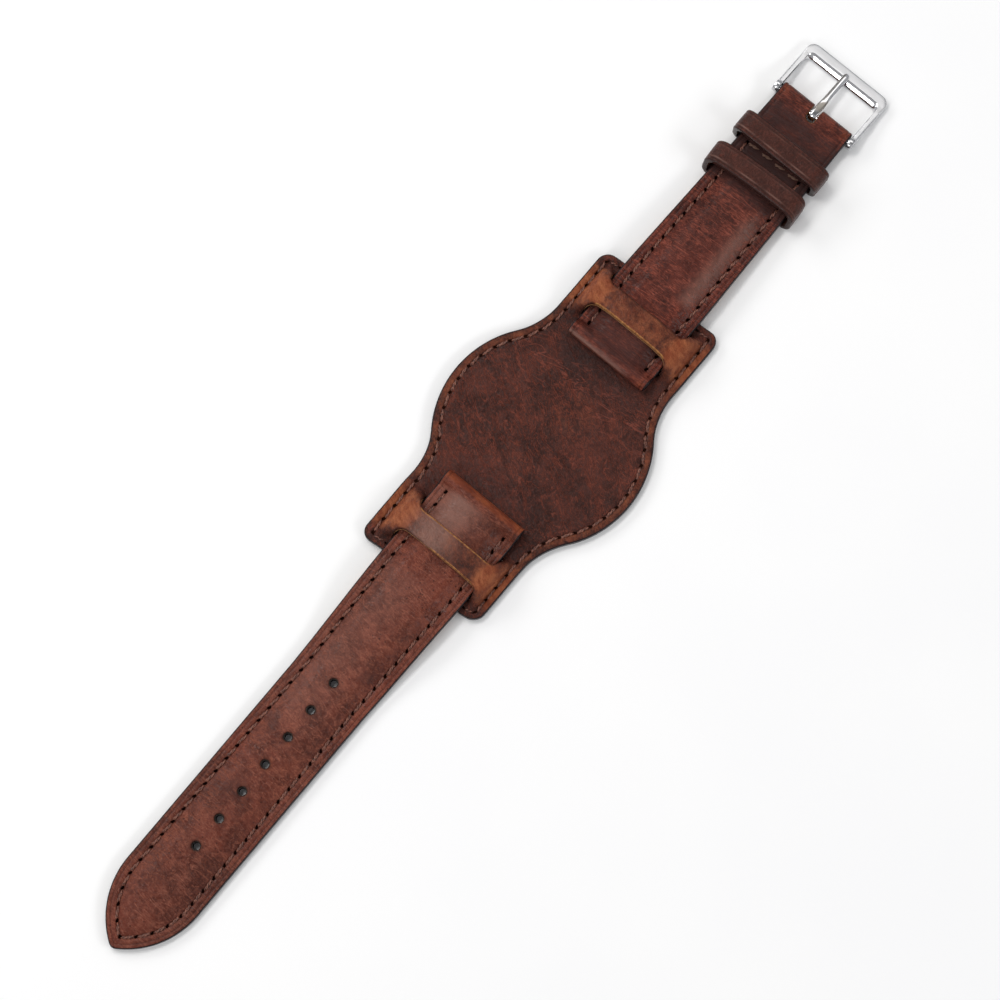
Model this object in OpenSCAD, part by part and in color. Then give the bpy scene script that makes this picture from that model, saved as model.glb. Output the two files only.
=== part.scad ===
// Two-piece leather watch strap that threads through a wide leather pad.
// The pad lies on the wrist, under the watch. Each half of the strap passes under a bridge that two slots leave
// standing in the pad. X runs along the strap towards the buckle, Y across it and Z up from the underside.

/* [Pad] */
// Length of the pad along the strap
pad_l = 76.4; // [72:0.2:90]
// Diameter of the round middle of the pad
disc_d = 45; // [42:0.5:52]
// Leather left beside the strap on each side of the pad's wings
wing_margin = 5.1; // [4.9:0.1:8]
// Radius where the round middle runs into the wings
waist_r = 16; // [8:0.5:24]
// Radius of the pad's four corners
ear_r = 2.5; // [1.5:0.1:2.9]
// Thickness of the pad's upper leather
pad_top_t = 1.1; // [0.9:0.05:1.6]
// Thickness of the pad's lining
pad_lining_t = 0.8; // [0.6:0.05:1.2]
// Thickness of the stiffener in the middle of the pad
stiffener_t = 0.4; // [0.2:0.05:0.6]
// Diameter of the stiffener
stiffener_d = 30; // [20:1:34]
// Width of the bar of leather at each end of the pad
end_bar_w = 2.9; // [2.5:0.1:4]
// Width of the slot between the end bar and the bridge
outer_slot_w = 2.8; // [2:0.1:4]
// Width of the bridge over the strap
bridge_w = 5.2; // [4:0.1:7]
// Width of the slot between the bridge and the middle
inner_slot_w = 3.2; // [2:0.1:4]

/* [Strap leather] */
// Width of the strap between the watch's lugs
lug_w = 19.6; // [18.4:0.2:23]
// Width of the strap at the buckle
buckle_end_w = 17.6; // [15:0.1:17.8]
// Width of the tail past its taper
tail_w = 18.2; // [16:0.1:19]
// Thickness of the strap's upper leather
top_t = 0.95; // [0.8:0.05:1.3]
// Thickness of the strap's lining
lining_t = 0.8; // [0.6:0.05:1.1]
// Thickness of the padding near the lugs
padding_t = 1.4; // [0.8:0.1:1.8]
// Thickness of the padding near the tail's tip
tail_padding_t = 0.7; // [0.4:0.1:1.2]
// Distance from the edge over which the padding swells to its full height
crown_run = 3.1; // [2:0.1:4]

/* [Lug ends] */
// Distance from the pad's middle to the fold of the tail
tail_lug_at = 17.2; // [15:0.1:18]
// Distance from the pad's middle to the fold of the buckle half
buckle_lug_at = 19.5; // [16:0.1:19.6]
// Radius of the tunnel for the watch's spring bar
tunnel_r = 0.9; // [0.75:0.05:1]
// Length of the leather that is turned under behind the tunnel
turn_under_l = 7; // [5:0.5:9]

/* [Tail] */
// Length of the tail from its fold to its tip
tail_l = 115.6; // [108:0.2:130]
// Length over which the tail and the buckle half narrow
tail_taper_l = 28.7; // [20:0.1:40]
// Length of the pointed end
tip_l = 15.5; // [12:0.5:18]
// Radius of the rounded point
tip_nose_r = 1.2; // [0.8:0.1:1.5]
// Number of buckle holes
hole_n = 7; // [5:1:8]
// Distance between buckle holes
hole_pitch = 7; // [5:0.1:7.2]
// Distance from the tip to the first buckle hole
first_hole_at = 25.8; // [22:0.1:30]
// Radius of a buckle hole
hole_r = 0.95; // [0.85:0.05:1.2]

/* [Buckle half] */
// Length of the buckle half from the lug fold to the fold at the buckle
buckle_half_l = 69; // [66:0.2:80]
// Distance from the buckle's spring bar back to the stitching across the strap
cross_stitch_back = 13.3; // [12.5:0.1:15]
// Width of the opening for the tang
tang_slot_w = 2.1; // [1.9:0.1:3]
// Length of that opening behind the spring bar
tang_slot_back = 1.2; // [1.1:0.05:2]

/* [Keepers] */
// Width of a keeper along the strap
keeper_w = 4.9; // [4:0.1:6]
// Thickness of a keeper
keeper_t = 1.25; // [1:0.05:1.5]
// Room between the strap and the fixed keeper on each side
keeper_play = 0.45; // [0.2:0.05:0.8]
// Room between the strap and the loose keeper on each side
loose_play = 0.6; // [0.5:0.05:1]
// Height left in the keepers above the padded strap, for the tail
keeper_room = 1.7; // [1.5:0.1:3]
// Distance from the spring bar back to the middle of the fixed keeper
fixed_keeper_back = 11; // [8.6:0.1:11.4]
// Gap between the two keepers' tops
keeper_gap = 3.1; // [2.4:0.1:6]
// How far the top of the loose keeper leans towards the buckle
keeper_lean = 1.8; // [0:0.1:2.2]
// How far the loose keeper is turned out of square, in degrees
keeper_skew = 3; // [0:0.5:3.5]

/* [Buckle] */
// Width of the frame's side arms
arm_w = 1.2; // [1:0.05:1.8]
// Distance from the spring bar to the inside of the front plate
buckle_reach = 9; // [8.5:0.1:11]
// Width of the front plate
plate_w = 3.4; // [2.8:0.1:4.5]
// Thickness of the front plate
plate_t = 1.7; // [1.4:0.05:2]
// Height of the side arms
arm_h = 1.7; // [1.4:0.05:2]
// Width of the tang
tang_w = 1.5; // [1.3:0.05:1.7]
// Thickness of the tang
tang_t = 1.2; // [1:0.05:1.3]
// How far the tang's tip reaches over the front plate
tang_over = 2.1; // [1.2:0.1:2.6]
// Radius of the spring bar's tube
bar_r = 0.75; // [0.65:0.05:0.8]
// Wall of the spring bar's tube
bar_wall = 0.2; // [0.15:0.01:0.25]
// Travel of each sprung tip
tip_travel = 0.85; // [0.7:0.05:1]

/* [Stitching] */
// Distance from the strap's edge to its stitching
strap_stitch_inset = 2.3; // [2:0.1:2.6]
// Distance from the pad's edge to its stitching
pad_stitch_inset = 1.75; // [1.5:0.05:2]
// Length of one stitch
stitch_pitch = 3.3; // [2.8:0.1:4]
// Radius of the thread
thread_r = 0.3; // [0.2:0.02:0.35]

/* [Hidden] */
$fn = 48;

saddle_brown = [0.33, 0.17, 0.12];
lining_tan = [0.62, 0.42, 0.26];
filler_grey = [0.55, 0.52, 0.48];
thread_brown = [0.25, 0.13, 0.10];
steel = [0.80, 0.80, 0.82];

// Fits between pieces
seat_gap = 0.1;       // strap over the pad
bridge_play = 0.15;   // bridge over the strap
side_play = 0.25;     // bridge beside the strap
slot_play = 0.6;      // slot ends past the strap's edges
hinge_play = 0.05;    // turning parts on the spring bar
pin_play = 0.03;      // tips in the tube and in the frame
frame_play = 0.2;     // frame beside the leather
keeper_lift = 0.1;    // strap over the keepers' lower strands

// Pad
pad_t = pad_top_t + pad_lining_t;
wing_half_w = lug_w/2 + wing_margin;
slot_half_w = lug_w/2 + slot_play;
slot_r = 1.3;
bridge_out = pad_l/2 - end_bar_w - outer_slot_w;
bridge_in = bridge_out - bridge_w;
window_in = bridge_in - inner_slot_w;
window_out = pad_l/2 - end_bar_w;
pad_end_stitch_inset = end_bar_w/2;

// Strap
flange_t = top_t + lining_t;
strap_z = pad_t + seat_gap;
lug_r = tunnel_r + top_t;
lug_blend_l = 2.2;
slide_in = 3;
bend_at = pad_l/2 + slide_in + 0.8;
bend_l = 22;
crown_edge = strap_stitch_inset + 0.6;
crown_lines = [0, strap_stitch_inset, crown_edge, crown_edge + 1, strap_stitch_inset + crown_run];
crown_shares = [0, 0.45, 0.6, 0.75, 0.9];

// Tail
tail_tunnel_at = tail_lug_at + lug_r;
tail_tip_at = tail_lug_at + tail_l;
tail_pad_fade_at = 45;
tail_pad_fade_l = 25;
tip_start_w = 0.38;
tip_drop = tail_w/2 - tip_start_w;
tip_r = (tip_drop*tip_drop + tip_l*tip_l)/(2*tip_drop);
tip_nose_l = 0.17*tip_nose_r;
tip_steps = [tip_l, 12.5, 9.5, 7, 5, 3.2, 1.8, 0.8, tip_nose_l, tip_nose_l/4];

// Buckle half
buckle_tunnel_at = buckle_lug_at + lug_r;
fold_hole_r = bar_r + hinge_play;
fold_r = fold_hole_r + top_t;
bar_x = buckle_lug_at + buckle_half_l - fold_r;
buckle_seat = keeper_t + keeper_lift;
bar_z = buckle_seat + flange_t/2;
fold_run = 3.4;
cross_stitch_x = bar_x - cross_stitch_back;
turn_back_x = cross_stitch_x - 2;
turn_back_step = 0.05;
padding_end_x = turn_back_x - 0.8;
padding_fade_l = 6.5;

// Keepers
keeper_inner_h = flange_t + padding_t + keeper_lift + keeper_room;
keeper_low_r = 0.85;
keeper_high_r = 1.4;
keeper_outer_h = keeper_inner_h + 2*keeper_t;
fixed_keeper_x = bar_x - fixed_keeper_back;
floating_keeper_x = fixed_keeper_x - keeper_w - keeper_gap - keeper_lean;

// Buckle
frame_in_half_w = buckle_end_w/2 + frame_play;
frame_out_half_w = frame_in_half_w + arm_w;
plate_x = bar_x + buckle_reach;
frame_end_x = plate_x + plate_w;
boss_r = 1.35;
tang_eye_r = bar_r + hinge_play + 0.62;
tang_slot_half = tang_slot_w/2;
pin_r = 0.4;
pin_hole_depth = 0.8*arm_w;
flange_r = 0.72;
flange_w = 0.3;
neck_r = 0.42;
head_r = bar_r - bar_wall - pin_play;
head_w = 0.6;
crimp_w = 0.25;
flange_y = frame_in_half_w - flange_w - 0.05;
tube_half_l = flange_y - tip_travel - 0.05;

// Shape rules
function smooth(t) = let (c = min(1, max(0, t))) c*c*(3 - 2*c);
function mix(a, b, t) = a + (b - a)*t;
function clamp01(t) = min(1, max(0, t));
function reversed(list) = [for (i = [len(list) - 1:-1:0]) list[i]];
function arc(c, r, a0, a1, n) = [for (i = [0:n]) let (a = mix(a0, a1, i/n)) c + r*[cos(a), sin(a)]];

// The pad's outline, drawn in by an inset at its sides and its ends
function pad_quarter(inset, end_inset) =
    let (r = disc_d/2 - inset,
         cy = wing_half_w + waist_r,
         cx = sqrt(pow(disc_d/2 + waist_r, 2) - cy*cy),
         meet = atan2(cy, cx),
         corner = ear_r - min(inset, ear_r - 0.6))
    concat(arc([0, 0], r, 90, meet, 9),
           arc([cx, cy], waist_r + inset, meet + 180, 270, 9),
           arc([pad_l/2 - end_inset - corner, wing_half_w - inset - corner], corner, 90, 0, 6));
function pad_outline(inset, end_inset) =
    let (q = pad_quarter(inset, end_inset))
    concat(q, reversed([for (p = q) [p.x, -p.y]]), [for (p = q) [-p.x, -p.y]], reversed([for (p = q) [-p.x, p.y]]));

// Half the strap's width at a distance d from the pad's middle
function tip_half_width(t) =
    t < tip_nose_l ? sqrt(t*(2*tip_nose_r - t)) : tail_w/2 - tip_r + sqrt(tip_r*tip_r - pow(tip_l - t, 2));
function half_width(d, tail) =
    tail ? (tail_tip_at - d < tip_l ? tip_half_width(tail_tip_at - d)
                                    : mix(lug_w/2, tail_w/2, clamp01((d - pad_l/2)/tail_taper_l)))
         : mix(lug_w/2, buckle_end_w/2, clamp01((d - pad_l/2)/(bar_x - pad_l/2)));

// Height of the strap's underside, and of its padding, at a distance d
function seat(d, tail) = mix(strap_z, tail ? 0 : buckle_seat, smooth((d - bend_at)/bend_l));
function padding_at(d, tail) =
    tail ? mix(padding_t, tail_padding_t, smooth((d - tail_pad_fade_at)/tail_pad_fade_l))
         : padding_t*(1 - smooth((d - padding_end_x + padding_fade_l)/padding_fade_l));
function crown(d, e, tail) = padding_at(d, tail)*smooth((e - strap_stitch_inset)/crown_run);

// Height of the upper leather's top over the seat: round at the tunnel and at the buckle's fold, crowned between
function lift(d, e, tail) =
    let (tunnel = tail ? tail_tunnel_at : buckle_tunnel_at,
         plain = flange_t + crown(d, e, tail),
         fold = tail ? 0 : smooth((d - bar_x + fold_run)/fold_run))
    mix(2*lug_r, plain, smooth((d - tunnel)/lug_blend_l)) + fold*(bar_z + fold_r - buckle_seat - flange_t);

// Underside of the leather that is turned back under the strap at the buckle
function turned_under(d) =
    let (drop = smooth((d - bar_x + fold_run)/fold_run)) buckle_seat - drop*(buckle_seat - bar_z + fold_r);

// The lines across the strap at which a layer's height is set, as distances from its edge
function line_insets(w, first) = concat([for (k = [first:4]) min(crown_lines[k], w*crown_shares[k])], [w]);
function row(d, tail, first, height) =
    let (w = half_width(d, tail), insets = line_insets(w, first))
    concat([for (e = insets) [d, e - w, height(d, e)]], [for (e = reversed(insets)) if (e < w) [d, w - e, height(d, e)]]);

inside_roll = 0.12;
tail_lug_stations = [for (k = [0:4]) tail_tunnel_at + (k == 0 ? inside_roll : lug_blend_l*k/4)];
tail_run_stations = concat([for (k = [0:8]) bend_at + bend_l*k/8], [pad_l/2 + tail_taper_l],
                           [for (k = [1:3]) mix(pad_l/2 + tail_taper_l, tail_tip_at - tip_l, k/4)]);
tail_tip_stations = [for (t = tip_steps) tail_tip_at - t];
buckle_lug_stations = [for (k = [0:4]) buckle_tunnel_at + (k == 0 ? inside_roll : lug_blend_l*k/4)];
buckle_run_stations = concat([for (k = [0:6]) bend_at + bend_l*k/6 - (k == 6 ? 0.5 : 0)],
                             [for (k = [1:6]) padding_end_x - padding_fade_l*(1 - k/6)]);
buckle_fold_stations = [for (k = [0:5]) bar_x - (k == 5 ? inside_roll : fold_run*(1 - k/5))];

// A closed sheet between two grids of points with the same rows
module sheet(upper, lower) {
    n = len(upper);
    m = len(upper[0]);
    base = n*m;
    function at(i, j) = i*m + j;
    faces = concat(
        [for (i = [0:n - 2], j = [0:m - 2]) each [
            [at(i, j), at(i, j + 1), at(i + 1, j + 1)], [at(i, j), at(i + 1, j + 1), at(i + 1, j)],
            [base + at(i, j), base + at(i + 1, j + 1), base + at(i, j + 1)],
            [base + at(i, j), base + at(i + 1, j), base + at(i + 1, j + 1)]]],
        [for (i = [0:n - 2]) let (a = at(i, 0), b = at(i + 1, 0), c = at(i, m - 1), d = at(i + 1, m - 1)) each [
            [a, b, base + b], [a, base + b, base + a], [c, base + d, d], [c, base + c, base + d]]],
        [for (j = [0:m - 2]) let (a = at(0, j), b = at(0, j + 1), c = at(n - 1, j), d = at(n - 1, j + 1)) each [
            [a, base + a, base + b], [a, base + b, b], [c, base + d, base + c], [c, d, base + d]]]);
    polyhedron(concat([for (r = upper) each r], [for (r = lower) each r]), faces, convexity = 6);
}

// A layer of the strap over a list of stations; first is the outermost of the lines across it that it reaches
module layer(stations, tail, first, upper, lower) {
    sheet([for (d = stations) row(d, tail, first, upper)], [for (d = stations) row(d, tail, first, lower)]);
}

// A plain layer, level across the strap
module level_layer(stations, tail, upper, lower) {
    function ends(d, z) = let (w = half_width(d, tail)) [[d, -w, z], [d, w, z]];
    sheet([for (d = stations) ends(d, upper(d))], [for (d = stations) ends(d, lower(d))]);
}

module across(x, z, r, length) {
    translate([x, length/2, z]) rotate([90, 0, 0]) cylinder(r = r, h = length);
}

// The leather rolled round the tunnel for a spring bar
module rolled_end(x, z, r, hole_r, length) {
    difference() {
        across(x, z, r, length);
        across(x, z, hole_r, length + 2);
    }
}

module buckle_holes() {
    for (i = [0:hole_n - 1])
        translate([tail_tip_at - first_hole_at - i*hole_pitch, 0, -1]) cylinder(r = hole_r, h = strap_z + 8);
}

module strap_top(tail) {
    tunnel = tail ? tail_tunnel_at : buckle_tunnel_at;
    lug = tail ? tail_lug_stations : buckle_lug_stations;
    run = tail ? concat(tail_run_stations, tail_tip_stations)
               : concat(buckle_run_stations, [turn_back_x - turn_back_step, turn_back_x], buckle_fold_stations);
    top = function (d, e) seat(d, tail) + lift(d, e, tail);
    under = function (d, e) !tail && d >= turn_back_x ? turned_under(d) : top(d, e) - top_t;
    layer(concat(lug, run), tail, 0, top, under);
    rolled_end(tunnel, strap_z + lug_r, lug_r, tunnel_r, lug_w);
    translate([tunnel, -lug_w/2, strap_z]) difference() {
        cube([turn_under_l, lug_w, lining_t]);
        translate([0, -1, lug_r]) rotate([-90, 0, 0]) cylinder(r = tunnel_r, h = lug_w + 2);
    }
}

module strap_padding(tail) {
    tunnel = tail ? tail_tunnel_at : buckle_tunnel_at;
    lug = tail ? tail_lug_stations : buckle_lug_stations;
    tip = [for (d = tail_tip_stations) if (half_width(d, true) > crown_edge + 1.8) d];
    run = tail ? concat(tail_run_stations, tip)
               : [for (d = buckle_run_stations) if (d < padding_end_x - 1) d];
    top = function (d, e) seat(d, tail) + lift(d, e, tail) - top_t;
    under = function (d, e) seat(d, tail) + lining_t;
    difference() {
        union() {
            layer([for (k = [1:3]) lug[k]], tail, 0, top, under);
            layer(concat([lug[3], lug[4]], run), tail, 2, top, under);
        }
        across(tunnel, strap_z + lug_r, lug_r, lug_w + 2);
    }
}

// Pad
module pad_slots() {
    module slot(x0, x1) {
        hull() for (x = [x0 + slot_r, x1 - slot_r], y = [-1, 1])
            translate([x, y*(slot_half_w - slot_r)]) circle(r = slot_r);
    }
    slot(window_in, bridge_in);
    slot(bridge_out, window_out);
}

// Half of the curve that the pad's underside follows over the strap, from the middle to the foot
arch_h = strap_z + flange_t + bridge_play;
arch_shoulder = lug_w/2 + side_play - 0.5;
arch_r = 0.7;
arch_foot_r = 2;
arch_steep = 64;
arch_run = crown_run + 1.5;
arch_drop = arch_h - (arch_r + arch_foot_r)*(1 - cos(arch_steep));
arch_foot = arch_shoulder + (arch_r + arch_foot_r)*sin(arch_steep) + arch_drop/tan(arch_steep);
arch_half = concat(
    [[0, arch_h + padding_t]],
    [for (k = [0:5]) let (d = arch_run*(1 - k/5)) [arch_shoulder - 0.4 - d, arch_h + padding_t*smooth(d/arch_run)]],
    [for (k = [0:3]) let (q = 90 - arch_steep*k/3) [arch_shoulder + arch_r*cos(q), arch_h - arch_r + arch_r*sin(q)]],
    [for (k = [0:3]) let (q = arch_steep*(1 - k/3)) [arch_foot - arch_foot_r*sin(q), arch_foot_r*(1 - cos(q))]]);
arch = concat(reversed([for (p = arch_half) if (p.x > 0) [-p.x, p.y]]), arch_half);

// The arch lowered to a share of its height, at a distance t outside its underside
function arch_row(x, share, t) =
    let (c = [for (p = arch) [p.x, share*p.y]], n = len(c))
    [for (i = [0:n - 1])
        let (v = i == 0 || i == n - 1 ? [1, 0] : c[i + 1] - c[i - 1], u = v/norm(v))
        [x, c[i].x - t*u.y, c[i].y + t*u.x]];
arch_in_ramp = inner_slot_w - slot_r;
arch_out_ramp = outer_slot_w - slot_r;
arch_stations = concat([for (k = [0:3]) [window_in + arch_in_ramp*k/3, smooth(k/3)]],
                       [for (k = [3:-1:0]) [window_out - arch_out_ramp*k/3, smooth(k/3)]]);

// A layer of the pad between two depths, raised over the strap and cut by its slots
module pad_layer(t0, t1) {
    difference() {
        union() {
            translate([0, 0, t0]) linear_extrude(t1 - t0) difference() {
                polygon(pad_outline(0, 0));
                for (side = [-1, 1])
                    translate([side*(window_in + window_out)/2, 0])
                        square([window_out - window_in, 2*arch_foot], center = true);
            }
            for (side = [0, 1]) mirror([side, 0, 0])
                sheet([for (k = arch_stations) arch_row(k[0], k[1], t1)],
                      [for (k = arch_stations) arch_row(k[0], k[1], t0)]);
        }
        for (side = [0, 1]) mirror([side, 0, 0])
            translate([0, 0, -1]) linear_extrude(arch_h + padding_t + pad_t + 2) pad_slots();
    }
}

module pad_lining() {
    color(lining_tan) pad_layer(0, pad_lining_t);
}

module pad_top_leather() {
    color(saddle_brown) difference() {
        pad_layer(pad_lining_t, pad_t);
        translate([0, 0, pad_lining_t - 1]) cylinder(d = stiffener_d, h = stiffener_t + 1);
    }
}

module pad_stiffener() {
    color(filler_grey) translate([0, 0, pad_lining_t]) cylinder(d = stiffener_d, h = stiffener_t);
}

// Tail, built towards +X and turned round
module tail_top_leather() {
    color(saddle_brown) mirror([1, 0, 0]) difference() {
        strap_top(true);
        buckle_holes();
    }
}

module tail_padding() {
    color(filler_grey) mirror([1, 0, 0]) difference() {
        strap_padding(true);
        buckle_holes();
    }
}

module tail_lining() {
    stations = concat([tail_tunnel_at + turn_under_l], tail_run_stations, tail_tip_stations);
    color(lining_tan) mirror([1, 0, 0]) difference() {
        level_layer(stations, true, function (d) seat(d, true) + lining_t, function (d) seat(d, true));
        buckle_holes();
    }
}

// Buckle half
module tang_slot() {
    end_x = bar_x + fold_r + 1;
    translate([0, 0, -1]) linear_extrude(12)
        polygon(concat(arc([bar_x - tang_slot_back, 0], tang_slot_half, 90, 270, 12),
                       [[end_x, -tang_slot_half], [end_x, tang_slot_half]]));
}

// The leather comes round the spring bar and back under the strap
module buckle_half_top_leather() {
    color(saddle_brown) difference() {
        union() {
            strap_top(false);
            across(bar_x, bar_z, fold_r, 2*half_width(bar_x, false));
        }
        across(bar_x, bar_z, fold_hole_r, lug_w);
        tang_slot();
    }
}

module buckle_half_padding() {
    color(filler_grey) strap_padding(false);
}

module buckle_half_lining() {
    stations = concat([buckle_tunnel_at + turn_under_l],
                      buckle_run_stations, [turn_back_x - turn_back_step]);
    color(lining_tan)
        level_layer(stations, false, function (d) seat(d, false) + lining_t, function (d) seat(d, false));
}

// Keepers: a loop along X, cut by a slab that may lean
module keeper(x, inner_half_w, lean) {
    outer_half_w = inner_half_w + keeper_t;
    module loop(half_w, z0, z1, r_low, r_high) {
        hull() for (s = [-1, 1]) {
            translate([s*(half_w - r_low), z0 + r_low]) circle(r = r_low);
            translate([s*(half_w - r_high), z1 - r_high]) circle(r = r_high);
        }
    }
    intersection() {
        translate([x - 3*keeper_w, 0, 0]) rotate([90, 0, 90]) linear_extrude(6*keeper_w) difference() {
            loop(outer_half_w, 0, keeper_outer_h, keeper_low_r + keeper_t, keeper_high_r + keeper_t);
            loop(inner_half_w, keeper_t, keeper_outer_h - keeper_t, keeper_low_r, keeper_high_r);
        }
        translate([x, outer_half_w + 1, 0]) rotate([90, 0, 0]) linear_extrude(2*outer_half_w + 2)
            polygon([[-keeper_w/2, -1], [keeper_w/2, -1], [keeper_w/2, 0], [keeper_w/2 + lean, keeper_outer_h],
                     [keeper_w/2 + lean, keeper_outer_h + 1], [lean - keeper_w/2, keeper_outer_h + 1],
                     [lean - keeper_w/2, keeper_outer_h], [-keeper_w/2, 0]]);
    }
}

module fixed_keeper() {
    color(saddle_brown) translate([0, 0, keeper_lift])
        keeper(fixed_keeper_x, half_width(fixed_keeper_x, false) + keeper_play, 0);
}

module floating_keeper() {
    color(saddle_brown) translate([floating_keeper_x, 0, 0]) rotate([0, 0, keeper_skew])
        keeper(0, half_width(floating_keeper_x, false) + loose_play, keeper_lean);
}

// Buckle frame: side arms that slope down to a front plate, with an eye at each arm's end
module buckle_frame() {
    front_r = 1.9;
    inner_r = 1.1;
    color(steel) difference() {
        union() {
            intersection() {
                translate([0, 0, -1]) linear_extrude(10) difference() {
                    union() {
                        translate([bar_x, -frame_out_half_w])
                            square([buckle_reach + plate_w - front_r, 2*frame_out_half_w]);
                        translate([bar_x, front_r - frame_out_half_w])
                            square([buckle_reach + plate_w, 2*(frame_out_half_w - front_r)]);
                        for (s = [-1, 1])
                            translate([frame_end_x - front_r, s*(frame_out_half_w - front_r)]) circle(r = front_r);
                    }
                    translate([bar_x - 1, -frame_in_half_w])
                        square([buckle_reach + 1 - inner_r, 2*frame_in_half_w]);
                    translate([bar_x, inner_r - frame_in_half_w])
                        square([buckle_reach, 2*(frame_in_half_w - inner_r)]);
                    for (s = [-1, 1])
                        translate([plate_x - inner_r, s*(frame_in_half_w - inner_r)]) circle(r = inner_r);
                }
                translate([0, frame_out_half_w + 1, 0]) rotate([90, 0, 0]) linear_extrude(2*frame_out_half_w + 2)
                    polygon([[bar_x, bar_z - arm_h/2], [plate_x - 1.5, 0.25], [plate_x, 0], [frame_end_x - 0.4, 0],
                             [frame_end_x, 0.4], [frame_end_x, plate_t - 0.7], [frame_end_x - 0.5, plate_t - 0.3],
                             [plate_x + 0.5, plate_t], [plate_x, plate_t - 0.35], [plate_x - 0.6, plate_t - 0.1],
                             [bar_x, bar_z + arm_h/2]]);
            }
            for (s = [-1, 1])
                across_at(bar_x, s*(frame_in_half_w + arm_w/2), bar_z, boss_r, arm_w);
        }
        for (s = [-1, 1])
            across_at(bar_x, s*(frame_in_half_w + pin_hole_depth/2 - 0.5), bar_z, pin_r + pin_play,
                      pin_hole_depth + 1);
    }
}

module across_at(x, y, z, r, length) {
    translate([0, y, 0]) across(x, z, r, length);
}

module tang() {
    tip_x = plate_x + tang_over;
    rest_z = plate_t + 0.05;
    color(steel) difference() {
        intersection() {
            union() {
                across(bar_x, bar_z, tang_eye_r, tang_w);
                translate([0, tang_w/2, 0]) rotate([90, 0, 0]) linear_extrude(tang_w)
                    polygon([[bar_x, bar_z + tang_eye_r - tang_t], [bar_x + 2, rest_z + 0.25],
                             [plate_x - 1, rest_z + 0.1], [plate_x + 0.4, rest_z],
                             [tip_x - 0.2, rest_z - 0.05], [tip_x, rest_z + 0.25],
                             [tip_x - 0.5, rest_z + 0.75], [plate_x - 0.5, rest_z + tang_t],
                             [bar_x + 3, rest_z + tang_t + 0.3], [bar_x, bar_z + tang_eye_r]]);
            }
            translate([bar_x - 3, 0, -1]) linear_extrude(8) {
                translate([0, -tang_w/2]) square([tip_x - bar_x + 3 - tang_w/2, tang_w]);
                translate([tip_x - bar_x + 3 - tang_w/2, 0]) circle(r = tang_w/2);
            }
        }
        across(bar_x, bar_z, bar_r + hinge_play, tang_w + 2);
    }
}

module spring_bar_tube() {
    color(steel) difference() {
        across(bar_x, bar_z, bar_r, 2*tube_half_l);
        across(bar_x, bar_z, bar_r - bar_wall, 2*(tube_half_l - crimp_w));
        across(bar_x, bar_z, neck_r + pin_play, 2*tube_half_l + 2);
    }
}

module spring_bar_tip(side) {
    pin_end = frame_in_half_w + pin_hole_depth - 0.15;
    head_y = tube_half_l - crimp_w - head_w - 0.05;
    module disc(y0, y1, r) {
        across_at(bar_x, side*(y0 + y1)/2, bar_z, r, y1 - y0);
    }
    color(steel) {
        disc(head_y, head_y + head_w, head_r);
        disc(head_y, flange_y, neck_r);
        disc(flange_y, flange_y + flange_w, flange_r);
        disc(flange_y, pin_end, pin_r);
    }
}

// The coil inside the tube, one unbroken wire between the two tips' heads
spring_turns = 12;
spring_steps = 7;
spring_wire_r = 0.07;
spring_half_l = tube_half_l - crimp_w - head_w - 0.1;
spring_coil_r = bar_r - bar_wall - 0.05 - spring_wire_r;
module spring_bar_spring() {
    n = spring_turns*spring_steps;
    sides = 5;
    reach = spring_half_l - spring_wire_r;
    function ring(i) =
        let (a = 360*i/spring_steps, y = mix(-reach, reach, i/n))
        [for (k = [0:sides - 1])
            let (q = 360*k/sides, r = spring_coil_r + spring_wire_r*cos(q))
            [bar_x + r*cos(a), y + spring_wire_r*sin(q), bar_z + r*sin(a)]];
    points = [for (i = [0:n]) each ring(i)];
    walls = [for (i = [0:n - 1], k = [0:sides - 1])
        let (a = i*sides + k, b = i*sides + (k + 1)%sides, c = a + sides, d = b + sides)
        each [[a, d, b], [a, c, d]]];
    caps = concat([for (k = [1:sides - 2]) [0, k, k + 1]],
                  [for (k = [1:sides - 2]) [n*sides, n*sides + k + 1, n*sides + k]]);
    color(steel) polyhedron(points, concat(walls, caps), convexity = 10);
}

// Stitching
function path_lengths(path, i = 0, sum = 0) =
    i >= len(path) - 1 ? [sum]
                       : concat([sum], path_lengths(path, i + 1, sum + norm(path[i + 1] - path[i])));
function path_at(path, lengths, s) =
    let (i = max([for (k = [0:len(path) - 2]) if (lengths[k] <= s + 1e-6) k]),
         t = (s - lengths[i])/(lengths[i + 1] - lengths[i]))
    mix(path[i], path[i + 1], clamp01(t));
function spaced(path) =
    let (lengths = path_lengths(path), total = lengths[len(path) - 1], n = round(total/stitch_pitch))
    [for (i = [0:n]) path_at(path, lengths, total*i/n)];

module rod(a, b, r) {
    v = b - a;
    length = norm(v);
    translate(a) rotate([0, acos(v.z/length), atan2(v.y, v.x)]) cylinder(r = r, h = length, $fn = 16);
}

// One stitch: a strand on the face, a leg through the layers, and a strand sunk into the back
module stitch(a, b, under_a, under_b) {
    gap = 0.13;
    rod(mix(a, b, gap), mix(a, b, 1 - gap), thread_r);
    rod(mix(under_a, under_b, 1 - gap), mix(a, b, 1 - gap), 0.7*thread_r);
    rod(mix(under_a, under_b, gap), mix(under_a, under_b, 1 - gap), 0.8*thread_r);
}

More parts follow.
